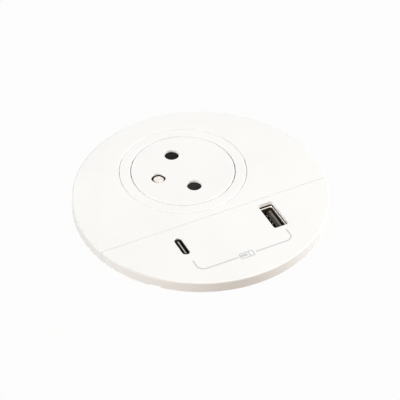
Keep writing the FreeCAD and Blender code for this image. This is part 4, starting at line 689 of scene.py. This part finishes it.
springs = {   # mm: wound coils; wire is its own radius, and the dead turns lie nearly flat at both ends
    "disc_spring": {"name": "liftSpring", "radius": 18.25, "wire": 0.5, "turns": 4.25, "dead": 0.75,
                    "low": -21.45, "high": -3.15, "body": "housing", "sides": 10, "steps": 56},
    "shutter_spring": {"name": "shutterReturnSpring", "radius": 3.3, "wire": 0.25, "turns": 1.75, "dead": 0.25,
                       "low": -0.4, "high": 1.85, "body": "disc", "sides": 8, "steps": 36},
}
deadRise = 0.9   # of the wire's radius, to a dead turn
socketPlace = (0, 14.7 * mm, 0)   # the middle of the disc


def makeSpring(node, s):
    shape = bmesh.new()
    made = bmesh.ops.create_circle(shape, cap_ends=False, segments=s["sides"], radius=s["wire"] * mm)
    upright = Matrix.Rotation(math.radians(90), 4, "X")
    start = Matrix.Translation((s["radius"] * mm, 0, s["low"] * mm))
    bmesh.ops.transform(shape, matrix=start @ upright, verts=made["verts"])
    loop = shape.edges[:]
    flatRise = s["dead"] * s["wire"] * deadRise
    climb = s["high"] - s["low"] - 2 * flatRise
    bmesh.ops.contextual_create(shape, geom=loop)
    for turns, rise in ((s["dead"], flatRise), (s["turns"] - 2 * s["dead"], climb), (s["dead"], flatRise)):
        steps = round(turns * s["steps"])
        section = loop + list(dict.fromkeys(v for e in loop for v in e.verts))
        made = bmesh.ops.spin(shape, geom=section, cent=(0, 0, 0), axis=(0, 0, 1), angle=turns * 2 * math.pi,
                              dvec=(0, 0, rise / steps * mm), steps=steps)
        loop = madeEdges(made["geom_last"])
    bmesh.ops.contextual_create(shape, geom=loop)
    bmesh.ops.remove_doubles(shape, verts=shape.verts, dist=weld["coil"] * mm)
    bmesh.ops.recalc_face_normals(shape, faces=shape.faces)
    bmesh.ops.translate(shape, vec=socketPlace, verts=shape.verts)
    return fitPiece(addPiece(s["name"], shape, smooth=True), s["body"], "spring_steel", (node,))


clawScrews = {   # mm: M4 screws that pull the claws up
    "right": {"centre": (34.8, -2.5), "body": "claw_screw_right"},
    "left": {"centre": (-34.8, 2.5), "body": "claw_screw_left"},
    "head": {"low": -0.4, "soft": 0.1},
    "shank": {"low": -6.2, "high": 0.3, "radius": 1.98, "sides": 28},
    "thread": {"core": 1.6, "crest": 2.0, "pitch": 0.7, "low": -44.3, "high": -6.0, "steps": 18,
               "profile": (("core", 0.0), ("crest", 0.4), ("crest", 0.55), ("core", 0.95), ("core", 1.0)),
               "below": 1.5, "beyond": 2},   # turns wound below the low end, and in all beyond its length
    "tip": {"low": 1.2, "high": 1.62, "length": 0.5, "drop": 0.05, "sides": 28},   # radii at its two ends
}


def makeThread(shape, t):   # one pitch of the profile, wound upwards and cut square at its ends
    verts = [shape.verts.new((t[edge] * mm, 0, share * t["pitch"] * mm)) for edge, share in t["profile"]]
    edges = [shape.edges.new(pair) for pair in zip(verts, verts[1:])]
    turns = math.ceil((t["high"] - t["low"]) / t["pitch"]) + t["beyond"]
    bmesh.ops.spin(shape, geom=verts + edges, cent=(0, 0, 0), axis=(0, 0, 1), angle=turns * 2 * math.pi,
                   dvec=(0, 0, t["pitch"] / t["steps"] * mm), steps=turns * t["steps"])
    bmesh.ops.translate(shape, vec=(0, 0, (t["low"] - t["pitch"] * t["below"]) * mm), verts=shape.verts)
    bmesh.ops.remove_doubles(shape, verts=shape.verts, dist=weld["thread"] * mm)
    for level, way in ((t["low"], 1), (t["high"], -1)):
        cut = cutAt(shape, (0, 0, level * mm), (0, 0, way), drop=True)
        bmesh.ops.contextual_create(shape, geom=madeEdges(cut["geom_cut"]))


def makeRod(shape, low, high, radii, sides):   # a turned length along z, from its lower radius to its upper one
    rod = bmesh.ops.create_cone(shape, cap_ends=True, segments=sides, radius1=radii[0] * mm,
                                radius2=radii[1] * mm, depth=(high - low) * mm)
    bmesh.ops.translate(shape, vec=(0, 0, (high + low) / 2 * mm), verts=rod["verts"])


def makeClawScrew(side, sizes):
    row, node = sizes[side], f"claw_screw_{side}"
    across, back = row["centre"]
    head = nodeCopy(node)
    cutAt(head, (0, 0, sizes["head"]["low"] * mm), (0, 0, 1), drop=True)
    softenEdges(head, sizes["head"]["soft"])
    shape = bmesh.new()
    makeThread(shape, sizes["thread"])
    bmesh.ops.recalc_face_normals(shape, faces=shape.faces)
    neck, tip = sizes["shank"], sizes["tip"]
    makeRod(shape, neck["low"], neck["high"], (neck["radius"], neck["radius"]), neck["sides"])
    end = sizes["thread"]["low"] - tip["drop"]
    makeRod(shape, end - tip["length"] / 2, end + tip["length"] / 2, (tip["low"], tip["high"]), tip["sides"])
    bmesh.ops.translate(shape, vec=(across * mm, back * mm, 0), verts=shape.verts)
    spare = bpy.data.meshes.new("spareHead")
    head.to_mesh(spare)
    head.free()
    shape.from_mesh(spare)
    bpy.data.meshes.remove(spare)
    piece = evenShade(addPiece("clawScrew" + side.title(), shape, smooth=True))
    fitPiece(piece, row["body"], "zinc_steel", (node,))


makeSoftened(softened)
print("solids with soft edges:", len(softened))
makePortShell(portShellSizes)
makePortContacts(portContacts)
lift = makeSpring("disc_spring", springs["disc_spring"])
makeSpring("shutter_spring", springs["shutter_spring"])
for side in ("right", "left"):
    makeClawScrew(side, clawScrews)
print("wide port, springs and clamp screws made")


printing = {   # mm on the cover: the line that frames the two ports, and the mark between its halves
    "level": 4.3, "lift": 0.015, "sink": 0.01, "width": 0.52, "turnSteps": 10, "cornerSteps": 5,
    "leftLine": {"start": (-18.3, -30.5), "heading": -90,
                 "moves": (("run", 3.0), ("turn", 2.7, 90), ("run", 12.6))},
    "rightLine": {"start": (19.0, -30.7), "heading": -90,
                  "moves": (("run", 2.8), ("turn", 2.7, -90), ("run", 12.4))},
    "mark": {"centre": (0.3, -36.2), "size": (5.7, 3.0), "corner": 0.8, "line": 0.4,
             "divider": 0.9, "chargeMiddle": (-1.1, 0.1), "charge": (2.6, 1.1)},
}


def layRibbon(shape, line, width, turnSteps):   # runs and turns, one after the other
    heading = math.radians(line["heading"])
    spot = Vector((*line["start"], 0)) * mm
    ahead = Vector((math.cos(heading), math.sin(heading), 0))
    side = Vector((-ahead.y, ahead.x, 0))
    edge = shape.edges.new([shape.verts.new(spot + side * way * width / 2 * mm) for way in (-1, 1)])
    for move, reach, *bend in line["moves"]:
        if move == "run":
            made = bmesh.ops.extrude_edge_only(shape, edges=[edge])["geom"]
            bmesh.ops.translate(shape, vec=ahead * reach * mm, verts=madeVerts(made))
            spot = spot + ahead * reach * mm
        else:
            angle = math.radians(bend[0])
            centre = spot + side * math.copysign(1, angle) * reach * mm
            turn = Matrix.Rotation(angle, 3, "Z")
            made = bmesh.ops.spin(shape, geom=[edge, *edge.verts], cent=centre, axis=(0, 0, 1), angle=angle,
                                  steps=turnSteps)["geom_last"]
            spot = centre + turn @ (spot - centre)
            ahead, side = turn @ ahead, turn @ side
        edge = madeEdges(made)[0]


def layPlate(shape, centre, size):   # a flat rectangle
    verts = bmesh.ops.create_grid(shape, x_segments=1, y_segments=1, size=0.5)["verts"]
    bmesh.ops.scale(shape, vec=(size[0] * mm, size[1] * mm, 1), verts=verts)
    bmesh.ops.translate(shape, vec=(centre[0] * mm, centre[1] * mm, 0), verts=verts)
    return verts


def makePrinting(s):
    shape = bmesh.new()
    for line in ("leftLine", "rightLine"):
        layRibbon(shape, s[line], s["width"], s["turnSteps"])
    mark = s["mark"]
    x, y = mark["centre"]
    outline = layPlate(shape, (x, y), mark["size"])
    bmesh.ops.bevel(shape, geom=outline, offset=mark["corner"] * mm, affect="VERTICES",
                    segments=s["cornerSteps"], profile=0.5, material=-1)
    inner = max(shape.faces, key=lambda face: len(face.verts))   # the only face with rounded corners
    bmesh.ops.inset_individual(shape, faces=[inner], thickness=mark["line"] * mm)
    bmesh.ops.delete(shape, geom=[inner], context="FACES_ONLY")
    layPlate(shape, (x + mark["divider"], y), (mark["line"], mark["size"][1] - mark["line"] * 2))
    layPlate(shape, (x + mark["chargeMiddle"][0], y + mark["chargeMiddle"][1]), mark["charge"])
    bmesh.ops.recalc_face_normals(shape, faces=shape.faces)
    bmesh.ops.translate(shape, vec=(0, 0, (s["level"] - s["sink"]) * mm), verts=shape.verts)
    top = bmesh.ops.extrude_face_region(shape, geom=shape.faces[:])["geom"]
    bmesh.ops.translate(shape, vec=(0, 0, (s["sink"] + s["lift"]) * mm), verts=madeVerts(top))
    bmesh.ops.recalc_face_normals(shape, faces=shape.faces)
    fitPiece(addPiece("portPrinting", shape), "housing", "white_plastic", finish="printed_grey")


makePrinting(printing)
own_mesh(lift)
print("printing laid and the spring set")


earthStripe = {"facing": (0.45, 0.35, 0.82), "edge": 0.1}   # one half of the skin, by the way that it faces


def makeEarthWire(s):   # a stripe of each colour along the wire
    shape = nodeCopy("earth_wire")
    stripe = shape.verts.layers.float.new("stripe")
    facing = Vector(s["facing"]).normalized()
    shape.normal_update()
    for vert in shape.verts:
        vert[stripe] = 1.0 if vert.normal.dot(facing) > s["edge"] else 0.0
    fitPiece(addPiece("earthWireStriped", shape, smooth=True), "housing", "wire_green_yellow", ("earth_wire",))


makeEarthWire(earthStripe)
print("earth wire striped")
